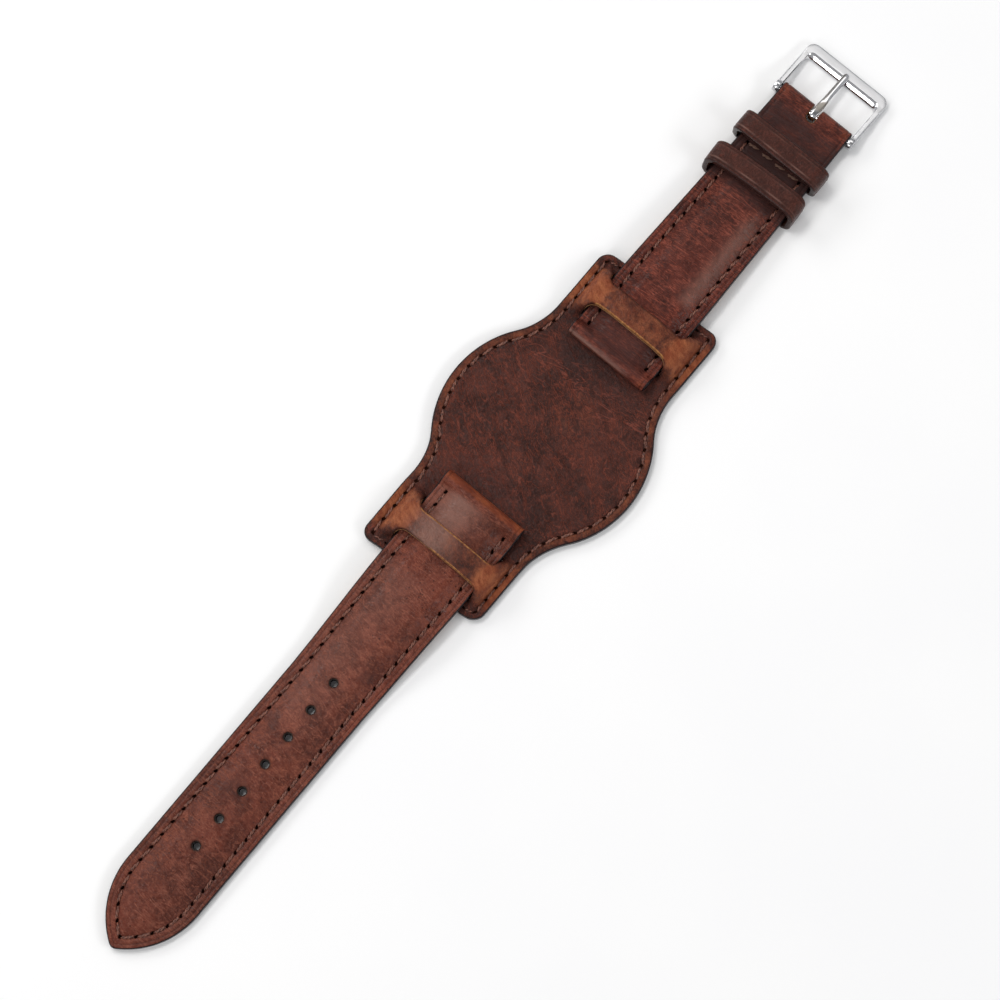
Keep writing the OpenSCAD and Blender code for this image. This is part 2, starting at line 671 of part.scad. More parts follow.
// A row of stitches along plan points; top and low give the heights of the leather's two faces there.
// In a row of level stitches, each lies as low as its lower end.
module stitch_row(points, top, low, level = false) {
    for (i = [0:len(points) - 2]) {
        p = points[i];
        q = points[i + 1];
        lowest = min(top(p), top(q));
        stitch([p.x, p.y, level ? lowest : top(p)], [q.x, q.y, level ? lowest : top(q)],
               [p.x, p.y, low(p) + 0.8*thread_r], [q.x, q.y, low(q) + 0.8*thread_r]);
    }
}

// The pad's stitches are pulled in flush where the strap lies on them
module pad_stitching() {
    path = pad_outline(pad_stitch_inset, pad_end_stitch_inset);
    flush = thread_r - seat_gap/2;
    function under_strap(p) = abs(p.x) > window_out && abs(p.y) < lug_w/2 + side_play + thread_r;
    top = function (p) pad_t - (under_strap(p) ? flush : 0);
    color(thread_brown)
        stitch_row(spaced(concat(path, [path[0]])), top, function (p) 0, level = true);
}

module tail_stitching() {
    start = tail_lug_at + 2*lug_r + 0.4;
    stations = [for (d = concat([start], tail_run_stations, tail_tip_stations))
        if (half_width(d, true) > strap_stitch_inset + 0.2) d];
    side = [for (d = stations) [d, half_width(d, true) - strap_stitch_inset]];
    path = concat(side, [[tail_tip_at - 2.1, 0]]);
    top = function (p) seat(p.x, true) + flange_t;
    low = function (p) seat(p.x, true);
    color(thread_brown) mirror([1, 0, 0]) for (s = [-1, 1])
        stitch_row([for (p = spaced(path)) [p.x, s*p.y]], top, low);
}

module buckle_half_stitching() {
    start = buckle_lug_at + 2*lug_r + 0.4;
    stations = concat([start], [for (d = buckle_run_stations) if (d < cross_stitch_x - 1) d], [cross_stitch_x]);
    side = [for (d = stations) [d, half_width(d, false) - strap_stitch_inset]];
    corner = side[len(side) - 1].y;
    top = function (p) seat(p.x, false) + flange_t;
    low = function (p) seat(p.x, false);
    color(thread_brown) {
        for (s = [-1, 1])
            stitch_row([for (p = spaced(side)) [p.x, s*p.y]], top, low);
        stitch_row(spaced([[cross_stitch_x, -corner], [cross_stitch_x, corner]]), top, low);
    }
}

pad_top_leather();
pad_stiffener();
pad_lining();
pad_stitching();
tail_top_leather();
tail_padding();
tail_lining();
tail_stitching();
buckle_half_top_leather();
buckle_half_padding();
buckle_half_lining();
buckle_half_stitching();
fixed_keeper();
floating_keeper();
buckle_frame();
tang();
spring_bar_tube();
spring_bar_spring();
spring_bar_tip(1);  // spring_bar_tip_left
spring_bar_tip(-1);  // spring_bar_tip_right
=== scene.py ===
import math
from functools import lru_cache

import bmesh
import bpy
import numpy as np
from mathutils import Matrix, Vector, noise
from mathutils.geometry import delaunay_2d_cdt


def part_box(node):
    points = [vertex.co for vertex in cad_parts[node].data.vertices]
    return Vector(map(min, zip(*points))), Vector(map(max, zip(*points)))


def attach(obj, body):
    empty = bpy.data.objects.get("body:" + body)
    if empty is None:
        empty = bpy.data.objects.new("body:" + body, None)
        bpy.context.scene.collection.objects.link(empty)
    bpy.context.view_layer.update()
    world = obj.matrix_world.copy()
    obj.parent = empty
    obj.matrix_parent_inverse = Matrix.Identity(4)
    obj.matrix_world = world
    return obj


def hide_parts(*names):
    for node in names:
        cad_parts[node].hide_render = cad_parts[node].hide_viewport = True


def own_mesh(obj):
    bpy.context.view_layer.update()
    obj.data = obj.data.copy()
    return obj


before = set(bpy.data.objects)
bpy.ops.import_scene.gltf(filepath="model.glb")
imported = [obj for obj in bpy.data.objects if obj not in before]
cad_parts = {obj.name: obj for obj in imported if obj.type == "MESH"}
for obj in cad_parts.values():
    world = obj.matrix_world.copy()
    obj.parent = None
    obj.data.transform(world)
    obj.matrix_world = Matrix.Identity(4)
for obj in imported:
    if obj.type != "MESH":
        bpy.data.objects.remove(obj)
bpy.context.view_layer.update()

# Sizes in millimetres, the same as in the part's source
MM = 0.001
PAD_L, DISC_D, WING_HALF_W, WAIST_R, EAR_R = 76.4, 45.0, 14.9, 16.0, 2.5
PAD_LINING_T, PAD_T, STIFFENER_R, STIFFENER_T = 0.8, 1.9, 15.0, 0.4
WINDOW_IN, BRIDGE_IN, BRIDGE_OUT, WINDOW_OUT, SLOT_HALF_W = 24.1, 27.3, 32.5, 35.3, 10.08
LUG_W, BUCKLE_END_W, TAIL_W = 19.6, 17.6, 18.2
TOP_T, LINING_T, PADDING_T, TAIL_PADDING_T, CROWN_RUN = 0.95, 0.8, 1.4, 0.7, 3.1
FLANGE_T = TOP_T + LINING_T
STRAP_Z, TUNNEL_R, LUG_R, LUG_BLEND_L, TURN_UNDER_L = 2.0, 0.9, 1.85, 2.2, 7.0
TAIL_LUG_AT, BUCKLE_LUG_AT = 17.2, 19.5
TAIL_TIP_AT = TAIL_LUG_AT + 115.6
TAPER_L, TIP_L, TIP_NOSE_R, TIP_START_W = 28.7, 15.5, 1.2, 0.38
BEND_AT, BEND_L = 42.0, 22.0
BAR_X, BAR_Z, FOLD_R, FOLD_HOLE_R, FOLD_RUN, BUCKLE_SEAT = 86.75, 2.225, 1.75, 0.8, 3.4, 1.35
CROSS_STITCH_X, TURN_BACK_X, PADDING_END_X, PADDING_FADE_L = 73.45, 71.45, 70.65, 6.5
HOLE_R, HOLE_PITCH, HOLE_N, FIRST_HOLE_AT = 0.95, 7.0, 7, 25.8
STITCH_INSET, PAD_STITCH_INSET, PAD_END_STITCH_INSET, PITCH = 2.35, 1.8, 1.45, 3.3
KEEPER_W, KEEPER_T, KEEPER_H, KEEPER_LOW_R, KEEPER_HIGH_R = 4.9, 1.25, 7.45, 0.85, 1.4
FIXED_X, FIXED_HALF_W, FIXED_LIFT = 75.75, 9.48, 0.1
LOOSE_X, LOOSE_HALF_W, LOOSE_LEAN, LOOSE_SKEW = 65.95, 9.83, 1.8, 3.0
FRAME_HALF_W, ARM_W, PLATE_X, FRAME_END_X, PLATE_T = 9.0, 1.2, 95.75, 99.15, 1.7

# Sizes that only this scene has
EDGE_R = 0.42
TANG_SLOT_R, TANG_SLOT_BACK, TANG_SLOT_ON, TANG_SLOT_CORNER_R = 1.05, 2.12, 1.9, 0.7
HOLE_CLOSING, CORE_HOLE_CLOSING = 0.26, 0.22
STITCH_END, THREAD_END, UNDER_THREAD_Z, LAYER_GAP = 0.12, 0.1, 0.21, 0.005
STITCH_SUNK, STITCH_PROUD, CROSS_STITCH_PROUD = 0.13, 0.12, 0.1
PAD_STITCH_SUNK, PAD_STITCH_PROUD, COVERED_STITCH_SUNK = 0.1, 0.10, 0.34
UNDER_BRIDGE_FROM, UNDER_BRIDGE_TO = 22, 39.5
LOOSE_SHIFT, LOOSE_BOW = 0.5, 0.35
# Stand for the distance from an edge that a point isn't near, and from a stitch row that it isn't near
FAR, OFF_ROW = 99.0, 9.0


def smooth(t):
    c = np.clip(t, 0, 1)
    return c * c * (3 - 2 * c)


def rise(x, start, run):
    """0 up to start, then smoothly up to 1 over run."""
    return smooth((x - start) / run)


def fall(x, end, run):
    """1 until run before end, then smoothly down to 0."""
    return smooth((end - x) / run)


def mix(a, b, t):
    return a + (b - a) * t


def bell(x, width):
    return np.exp(-((x / width) ** 2))


def unit(v):
    return v / np.maximum(np.linalg.norm(v, axis=-1, keepdims=True), 1e-9)


def edge_drop(e, r):
    """How far a rounded edge of radius r lies below its face at a distance e from the edge."""
    c = np.clip(e / r, 0, 1)
    return r * (1 - np.sqrt(np.maximum(0, 1 - (1 - c) ** 2)))


def wavy(x, y, z, scale, seed):
    """Smooth noise, about -1 to 1, at each point, whose features are about scale millimetres."""
    points = zip(*np.broadcast_arrays(x, y, z))
    return np.array([noise.noise(Vector(p) / scale + Vector((seed, 2.3 * seed, 5.1))) for p in points])


def arc(cx, cy, r, a0, a1, n, last=True):
    """n points of an arc between two angles in degrees, with the second of them only if last is true."""
    a = np.radians(np.linspace(a0, a1, n, endpoint=last))
    return np.stack([cx + r * np.cos(a), cy + r * np.sin(a)], 1)


def circle(n):
    return arc(0, 0, 1, 0, 360, n, False)


def rounded(corners, spacing, turns=None):
    """A closed path round corners and its outward directions. A corner is x, y, first angle and radius."""
    points, ways = [], []
    for k, (cx, cy, a0, r) in enumerate(corners):
        n = turns or max(4, round(r * math.pi / 2 / spacing))
        for way in arc(0, 0, 1, a0, a0 + 90, n + 1):
            points.append((cx, cy) + r * way)
            ways.append(way)
        nx, ny, next_a, next_r = corners[(k + 1) % 4]
        here, target = points[-1], arc(nx, ny, next_r, next_a, next_a, 1)[0]
        m = int(np.linalg.norm(target - here) / spacing)
        points += [mix(here, target, i / m) for i in range(1, m)]
        ways += [ways[-1]] * max(0, m - 1)
    return np.array(points), np.array(ways)


def stadium(x0, x1, half_w, r0, r1, spacing=0.35):
    """A rounded rectangle about the X axis, whose corners have radius r0 at x0 and r1 at x1."""
    return rounded([(x1 - r1, r1 - half_w, -90, r1), (x1 - r1, half_w - r1, 0, r1),
                    (x0 + r0, half_w - r0, 90, r0), (x0 + r0, r0 - half_w, 180, r0)], spacing)


# Meshes
def skin(start, rows, n, flip=False, wrap=False):
    """The quads between rings of n points, from point start on. wrap joins the last ring to the first."""
    faces = []
    for i in range(rows if wrap else rows - 1):
        here, ahead = start + i * n, start + (i + 1) % rows * n
        for k in range(n):
            a, b, c, d = here + k, here + (k + 1) % n, ahead + (k + 1) % n, ahead + k
            faces.append((a, d, c, b) if flip else (a, b, c, d))
    return faces


def solid(start, rows, n, flip=False):
    """The faces of a closed solid with a flat end at its first and its last ring."""
    first, last = range(start, start + n), range(start + (rows - 1) * n, start + rows * n)
    ends = [tuple(first), tuple(reversed(last))] if flip else [tuple(reversed(first)), tuple(last)]
    return skin(start, rows, n, flip) + ends


def add_piece(facts, points, faces, values=None, merge=True):
    """A piece from points in millimetres. facts are its name, body and material, the node that it stands
    for, and a slot, which is not used. values holds a number for each point under each attribute's name, and
    merge joins points that lie on one another."""
    name, body, material, node, slot = facts
    mesh = bpy.data.meshes.new(name)
    mesh.from_pydata((np.asarray(points, float) * MM).tolist(), [], faces)
    for key, numbers in (values or {}).items():
        layer = mesh.attributes.new(key, "FLOAT", "POINT")
        layer.data.foreach_set("value", np.asarray(numbers, np.float32))
    if merge:
        work = bmesh.new()
        work.from_mesh(mesh)
        bmesh.ops.remove_doubles(work, verts=work.verts, dist=1e-6)
        bmesh.ops.dissolve_degenerate(work, edges=work.edges, dist=1e-7)
        work.to_mesh(mesh)
        work.free()
    mesh.polygons.foreach_set("use_smooth", [True] * len(mesh.polygons))
    mesh.materials.append(material)
    mesh.update()
    piece = bpy.data.objects.new(name, mesh)
    bpy.context.scene.collection.objects.link(piece)
    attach(piece, body)
    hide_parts(node)
    return piece


def inside(points, loop):
    x, y = points[:, 0][:, None], points[:, 1][:, None]
    ax, ay = loop[:, 0][None], loop[:, 1][None]
    bx, by = np.roll(loop[:, 0], -1)[None], np.roll(loop[:, 1], -1)[None]
    with np.errstate(divide="ignore", invalid="ignore"):
        crosses = ((ay > y) != (by > y)) & (x < (bx - ax) * (y - ay) / (by - ay) + ax)
    return crosses.sum(1) % 2 == 1


def between(points, outline, holes):
    keep = inside(points, outline)
    for hole in holes:
        keep &= ~inside(points, hole)
    return keep


def away_from(points, others, gap):
    near = np.full(len(points), np.inf)
    for part in np.array_split(others, max(1, len(others) // 200)):
        near = np.minimum(near, ((points[:, None] - part[None]) ** 2).sum(2).min(1))
    return near > gap * gap


class Plan:
    """The plan of one face of a sheet: rings drawn in from its outline, rings round its holes, and triangles
    between them.

    rings holds K rings of N points with the outline first, and each hole likewise, from its own edge
    outwards. All run anticlockwise. inset and outset say how far a point lies from the outline and from the
    nearest hole, and index says which of the N it is."""

    def __init__(self, rings, insets, holes=(), outsets=(), spacing=0.8):
        rings = np.asarray(rings, float)
        k, n = rings.shape[:2]
        self.faces, self.loops = skin(0, k, n), [(0, n)]
        points, inset = [rings.reshape(-1, 2)], [np.repeat(insets, n)]
        outset, index = [np.full(k * n, FAR)], [np.tile(np.arange(n), k)]
        ends, start = [np.arange((k - 1) * n, k * n)], k * n

        def add(more, distances):
            points.append(more)
            inset.append(np.full(len(more), FAR))
            outset.append(distances)
            index.append(np.full(len(more), -1))

        for hole in holes:
            hole = np.asarray(hole, float)
            h, m = hole.shape[:2]
            add(hole.reshape(-1, 2), np.repeat(outsets, m))
            self.loops.append((start, m))
            self.faces += [face[::-1] for face in skin(start, h, m)]
            ends.append(np.arange(start + (h - 1) * m, start + h * m))
            start += h * m
        known = np.concatenate(points)
        outline, *gaps = (known[end] for end in ends)
        low, high = outline.min(0), outline.max(0)
        gx = np.arange(low[0] + spacing / 2, high[0], spacing)
        gy = np.arange(low[1], high[1] + spacing, spacing)
        gy = gy - gy.mean() + (low[1] + high[1]) / 2
        grid = np.array([(x, y) for x in gx for y in gy])
        grid = grid[between(grid, outline, gaps)]
        grid = grid[away_from(grid, known[np.concatenate(ends)], 0.55 * spacing)]
        add(grid, np.full(len(grid), FAR))
        self.xy = np.concatenate(points)
        self.inset, self.outset, self.index = map(np.concatenate, (inset, outset, index))

        used = np.concatenate([*ends, np.arange(start, start + len(grid))])
        edges, base = [], 0
        for m in map(len, ends):
            edges += [(base + i, base + (i + 1) % m) for i in range(m)]
            base += m
        found = delaunay_2d_cdt([Vector(p) for p in self.xy[used]], edges, [], 0, 1e-5)
        origin = np.array([used[o[0]] if o else -1 for o in found[3]])
        triangles = origin[np.array([t for t in found[2] if len(t) == 3])]
        triangles = triangles[(triangles >= 0).all(1)]
        p = self.xy[triangles]
        a, b = p[:, 1] - p[:, 0], p[:, 2] - p[:, 0]
        area = a[:, 0] * b[:, 1] - a[:, 1] * b[:, 0]
        keep = between(p.mean(1), outline, gaps) & (np.abs(area) > 1e-9)
        triangles, area = triangles[keep], area[keep]
        triangles[area < 0] = triangles[area < 0][:, ::-1]
        self.faces += [tuple(int(i) for i in t) for t in triangles]


def sheet(facts, upper, lower, flip=False):
    """A closed sheet, joined along the first rings of its two faces. Each face is a plan, its points and
    their values. The tail's sheets are mirror images, so flip turns their faces over."""
    (over, top, top_values), (under, bottom, bottom_values) = upper, lower
    base = len(over.xy)
    faces = over.faces + [tuple(base + i for i in face[::-1]) for face in under.faces]
    for k, ((a0, n), (b0, _)) in enumerate(zip(over.loops, under.loops)):
        for j in range(n):
            a, b, c, d = a0 + j, a0 + (j + 1) % n, base + b0 + (j + 1) % n, base + b0 + j
            faces.append((a, d, c, b) if k == 0 else (a, b, c, d))
    values = {key: np.concatenate([top_values[key], bottom_values[key]]) for key in top_values}
    piece = add_piece(facts, np.concatenate([top, bottom]), faces, values)
    if flip:
        piece.data.flip_normals()
    return piece


def tube(points, faces, path, radii, sides):
    """Adds a round strand along path to the lists points and faces."""
    along = unit(np.gradient(path, axis=0))
    side = unit(np.cross(along, [0.13, 0.21, 0.97]))
    up = np.cross(side, along)
    base, ring = len(points), circle(sides)
    for c, s, u, r in zip(path, side, up, radii):
        points.extend(c + r * (ring @ [s, u]))
    faces += solid(base, len(path), sides)


def offset_loop(loop, inset):
    """The closed loop moved in by inset, point by point. None of them crosses the long axis."""
    both = unit(np.roll(loop, -1, 0) - loop) + unit(loop - np.roll(loop, 1, 0))
    normal = np.stack([-both[:, 1], both[:, 0]], 1)
    stretch = np.minimum(1.6, 2 / np.maximum(np.linalg.norm(normal, axis=1), 0.2))
    moved = loop + inset * unit(normal) * stretch[:, None]
    side = np.sign(loop[:, 1])
    over = (moved[:, 1] * side < 0) & (side != 0)
    for end in (-1, 1):
        here = end * loop[:, 0] > end * loop[:, 0].mean()
        if (over & here).any():
            good = moved[~over & here & (side != 0)]
            limit, before = good[np.argmax(end * good[:, 0])], good[np.argsort(-end * good[:, 0])[2]]
            slope = (before[0] - limit[0]) / max(abs(before[1]) - abs(limit[1]), 1e-6)
            moved[here & (over | (side == 0))] = [limit[0] - slope * abs(limit[1]), 0.0]
    return moved


def strap_ring(loop, inset, tail):
    """The strap's flat outline moved in by inset. Its square ends stay square and don't fold over."""
    moved = offset_loop(loop, inset)
    fade = 14.0
    ends = [(-1, loop[:, 0].min())] if tail else [(-1, loop[:, 0].min()), (1, loop[:, 0].max())]
    for end, x0 in ends:
        depth = end * (x0 - loop[:, 0])
        on_end, near = depth < 1e-6, depth < fade
        width = np.abs(loop[on_end][:, 1]).max()
        moved[near, 0] = x0 - end * mix(inset, fade, depth / fade)[near]
        moved[on_end, 1] = loop[on_end, 1] * (width - inset) / width
        side = near & ~on_end
        moved[side, 1] = np.sign(loop[side, 1]) * (np.abs(loop[side, 1]) - inset)
    return moved


# Shapes shared with the part's source, where d or s is a distance from the pad's middle along the strap
LUG_X = {True: TAIL_LUG_AT + LUG_R, False: BUCKLE_LUG_AT + LUG_R}


def half_width(d, tail):
    if not tail:
        return mix(LUG_W / 2, BUCKLE_END_W / 2, np.clip((d - PAD_L / 2) / (BAR_X - PAD_L / 2), 0, 1))
    t = np.clip(TAIL_TIP_AT - d, 0, None)
    nose = 0.17 * TIP_NOSE_R
    drop = TAIL_W / 2 - TIP_START_W
    r = (drop * drop + TIP_L * TIP_L) / (2 * drop)
    tip = TAIL_W / 2 - r + np.sqrt(np.maximum(0, r * r - (TIP_L - np.clip(t, nose, TIP_L)) ** 2))
    tip = np.where(t < nose, np.sqrt(np.maximum(0, t * (2 * TIP_NOSE_R - t))), tip)
    return np.where(t < TIP_L, tip, mix(LUG_W / 2, TAIL_W / 2, np.clip((d - PAD_L / 2) / TAPER_L, 0, 1)))


def seat(d, tail):
    return mix(STRAP_Z, 0.0 if tail else BUCKLE_SEAT, rise(d, BEND_AT, BEND_L))


def padding_at(d, tail):
    if tail:
        return mix(PADDING_T, TAIL_PADDING_T, rise(d, 45, 25))
    return PADDING_T * fall(d, PADDING_END_X, PADDING_FADE_L)


def lift(d, e, tail):
    """How high the upper face lies over the strap's seat, at a distance e from the strap's edge."""
    crown = padding_at(d, tail) * rise(e, STITCH_INSET, CROWN_RUN)
    body = mix(2 * LUG_R, FLANGE_T + crown, rise(d, LUG_X[tail], LUG_BLEND_L))
    fold = 0 if tail else rise(d, BAR_X - FOLD_RUN, FOLD_RUN)
    return body + fold * (BAR_Z + FOLD_R - BUCKLE_SEAT - FLANGE_T)


def turned_under(d):
    return BUCKLE_SEAT - rise(d, BAR_X - FOLD_RUN, FOLD_RUN) * (BUCKLE_SEAT - BAR_Z + FOLD_R)


def strap_skin(s, e, tail, outer):
    """Where a point of the strap's upper leather lies, and its outward normal, in the X-Z plane. s is its
    distance along the leather, which is the distance from the pad's middle where it lies on top, and runs on
    round both folds."""
    def hollow(d, centre_x, r):
        """Half the height, at d, of the hollow in a fold."""
        return np.sqrt(np.maximum(0, r * r - (centre_x - d) ** 2))

    def folded(x, z, nx, nz, way, centre_x, centre_z, r, inner_r, under_z):
        """Bends what lies past centre_x round the fold and lays what is left back under it, at under_z."""
        past, drawn_r = way * (s - centre_x), r if outer else inner_r
        angle = np.clip(past / r, 0, math.pi)
        sin, cos = np.sin(angle), np.cos(angle)
        rolled, under = (past > 0) & (angle < math.pi), past >= math.pi * r
        below = 2 * centre_x + way * math.pi * r - s
        x = np.where(under, below, np.where(rolled, centre_x + way * drawn_r * sin, x))
        z = np.where(under, under_z(below), np.where(rolled, centre_z + drawn_r * cos, z))
        return x, z, np.where(past > 0, way * sin, nx), np.where(past > 0, cos, nz)

    def under_lug(d):
        return STRAP_Z + (0 if outer else LINING_T + 0.15 * fall(d, lug + 1.0, 1.0))

    def under_bar(d):
        if outer:
            return turned_under(d)
        middle = (seat(d, False) + lift(d, FAR, False) + turned_under(d)) / 2 - 0.02
        return np.where(d > BAR_X - FOLD_HOLE_R, BAR_Z - hollow(d, BAR_X, FOLD_HOLE_R), middle)

    lug, lug_z = LUG_X[tail], STRAP_Z + LUG_R
    z = seat(s, tail) + lift(s, e, tail)
    if not outer:
        inner = mix(seat(s, tail) + LINING_T, z - TOP_T, rise(e, 0.2, 1.5))
        z = np.where(s < lug + TUNNEL_R, np.maximum(lug_z + hollow(s, lug, TUNNEL_R), inner), inner)
    x, z, nx, nz = folded(s, z, 0.0, 1.0, -1, lug, lug_z, LUG_R, TUNNEL_R, under_lug)
    if tail:
        return x, z, nx, nz
    if not outer:
        middle = (seat(s, False) + lift(s, e, False) + turned_under(s)) / 2
        middle = np.where(s > BAR_X - FOLD_HOLE_R, BAR_Z + hollow(s, BAR_X, FOLD_HOLE_R), middle)
        z = np.where((s > TURN_BACK_X) & (s <= BAR_X), middle, z)
    return folded(x, z, nx, nz, 1, BAR_X, BAR_Z, FOLD_R, FOLD_HOLE_R, under_bar)


def pad_outline(inset):
    """The pad's outline moved in by inset, anticlockwise, with the same number of points at each inset."""
    r, cy = DISC_D / 2 - inset, WING_HALF_W + WAIST_R
    cx = math.sqrt((DISC_D / 2 + WAIST_R) ** 2 - cy * cy)
    meet = math.degrees(math.atan2(cy, cx))
    corner = EAR_R - min(inset, EAR_R - 0.5)
    end_x = PAD_L / 2 - inset * PAD_END_STITCH_INSET / PAD_STITCH_INSET
    wing = WING_HALF_W - inset

    def line(p, q, n):
        return mix(np.array([p]), np.array([q]), np.linspace(0, 1, n, endpoint=False)[:, None])

    quarter = np.concatenate([
        arc(0, 0, r, 90, meet, 36, False), arc(cx, cy, WAIST_R + inset, meet + 180, 270, 26, False),
        line((cx, wing), (end_x - corner, wing), 32),
        arc(end_x - corner, wing - corner, corner, 90, 0, 10, False),
        line((end_x, wing - corner), (end_x, 0), 30)])
    mirrored = np.concatenate([quarter[1:], [[end_x, 0]]])[::-1] * [1, -1]
    right = np.concatenate([quarter, mirrored])
    return np.concatenate([right, -right])[::-1]


# The arch that the pad follows over the strap
ARCH_H = STRAP_Z + FLANGE_T + 0.15
ARCH_SHOULDER, ARCH_FLAT, ARCH_RUN = 9.55, 9.15, CROWN_RUN + 1.5
ARCH_R, ARCH_FOOT_R, ARCH_STEEP = 0.7, 2.0, math.radians(64)
ARCH_DROP = ARCH_H - (ARCH_R + ARCH_FOOT_R) * (1 - math.cos(ARCH_STEEP))
ARCH_FOOT = ARCH_SHOULDER + (ARCH_R + ARCH_FOOT_R) * math.sin(ARCH_STEEP) + ARCH_DROP / math.tan(ARCH_STEEP)
ARCH_STEP, ARCH_SHARES = 0.05, 25


@lru_cache
def arch_table(t):
    """Heights of the pad's face a distance t over its underside, by share of the arch's height and by y."""
    run = np.linspace(ARCH_RUN, 0, 30)
    a, b = np.linspace(math.pi / 2, math.pi / 2 - ARCH_STEEP, 12), np.linspace(ARCH_STEEP, 0, 16)
    middle = np.linspace(0, ARCH_FLAT - ARCH_RUN, 8, endpoint=False)
    y = np.concatenate([middle, ARCH_FLAT - run, ARCH_SHOULDER + ARCH_R * np.cos(a),
                        ARCH_FOOT - ARCH_FOOT_R * np.sin(b)])
    z = np.concatenate([np.full(8, ARCH_H + PADDING_T), ARCH_H + PADDING_T * smooth(run / ARCH_RUN),
                        ARCH_H - ARCH_R + ARCH_R * np.sin(a), ARCH_FOOT_R * (1 - np.cos(b))])
    steps, table = np.arange(0, 17, ARCH_STEP), []
    for share in np.linspace(0, 1, ARCH_SHARES + 1):
        slope = np.gradient(share * z, y)
        length = np.sqrt(1 + slope * slope)
        across, up = np.maximum.accumulate(y - t * slope / length), share * z + t / length
        table.append(np.interp(steps, [0, *across, across[-1] + 0.01], [up[0], *up, t]))
    return np.array(table)


def pad_height(x, y, t):
    """The height of the pad's face a distance t over its underside."""
    table = arch_table(t)
    ax, ay = np.abs(x), np.abs(y)
    wide = rise(ay, 10.5, 1.3)
    up = rise(ax, WINDOW_IN - 2.6 * wide, 1.9 + 3.0 * wide)
    down = fall(ax, WINDOW_OUT + 1.9 * wide, 1.5 + 2.4 * wide)
    share = np.minimum(up, down) * ARCH_SHARES
    step = np.clip(ay / ARCH_STEP, 0, table.shape[1] - 1.001)
    i, j = np.minimum(share.astype(int), ARCH_SHARES - 1), step.astype(int)
    u, v = share - i, step - j
    return mix(mix(table[i, j], table[i + 1, j], u), mix(table[i, j + 1], table[i + 1, j + 1], u), v)


def pad_lean(x, y):
    """The real pad isn't quite square: its wings are pulled a little to one side."""
    side = rise(np.abs(y), 9.8, 4.5)
    outer = rise(np.abs(x), 28, 9)
    new_x = x + outer * (np.where(x < 0, -0.5, -0.3) * y / WING_HALF_W) * side
    return new_x, y + side * (0.75 * fall(x, -12, 14) - 0.1 * rise(x, 14, 16))


# Materials
EDGE_PAINT = "1d1416"


def colour(text):
    """A linear colour from six sRGB digits."""
    c = [int(text[i:i + 2], 16) / 255 for i in (0, 2, 4)]
    return tuple(x / 12.92 if x <= 0.04045 else ((x + 0.055) / 1.055) ** 2.4 for x in c) + (1.0,)


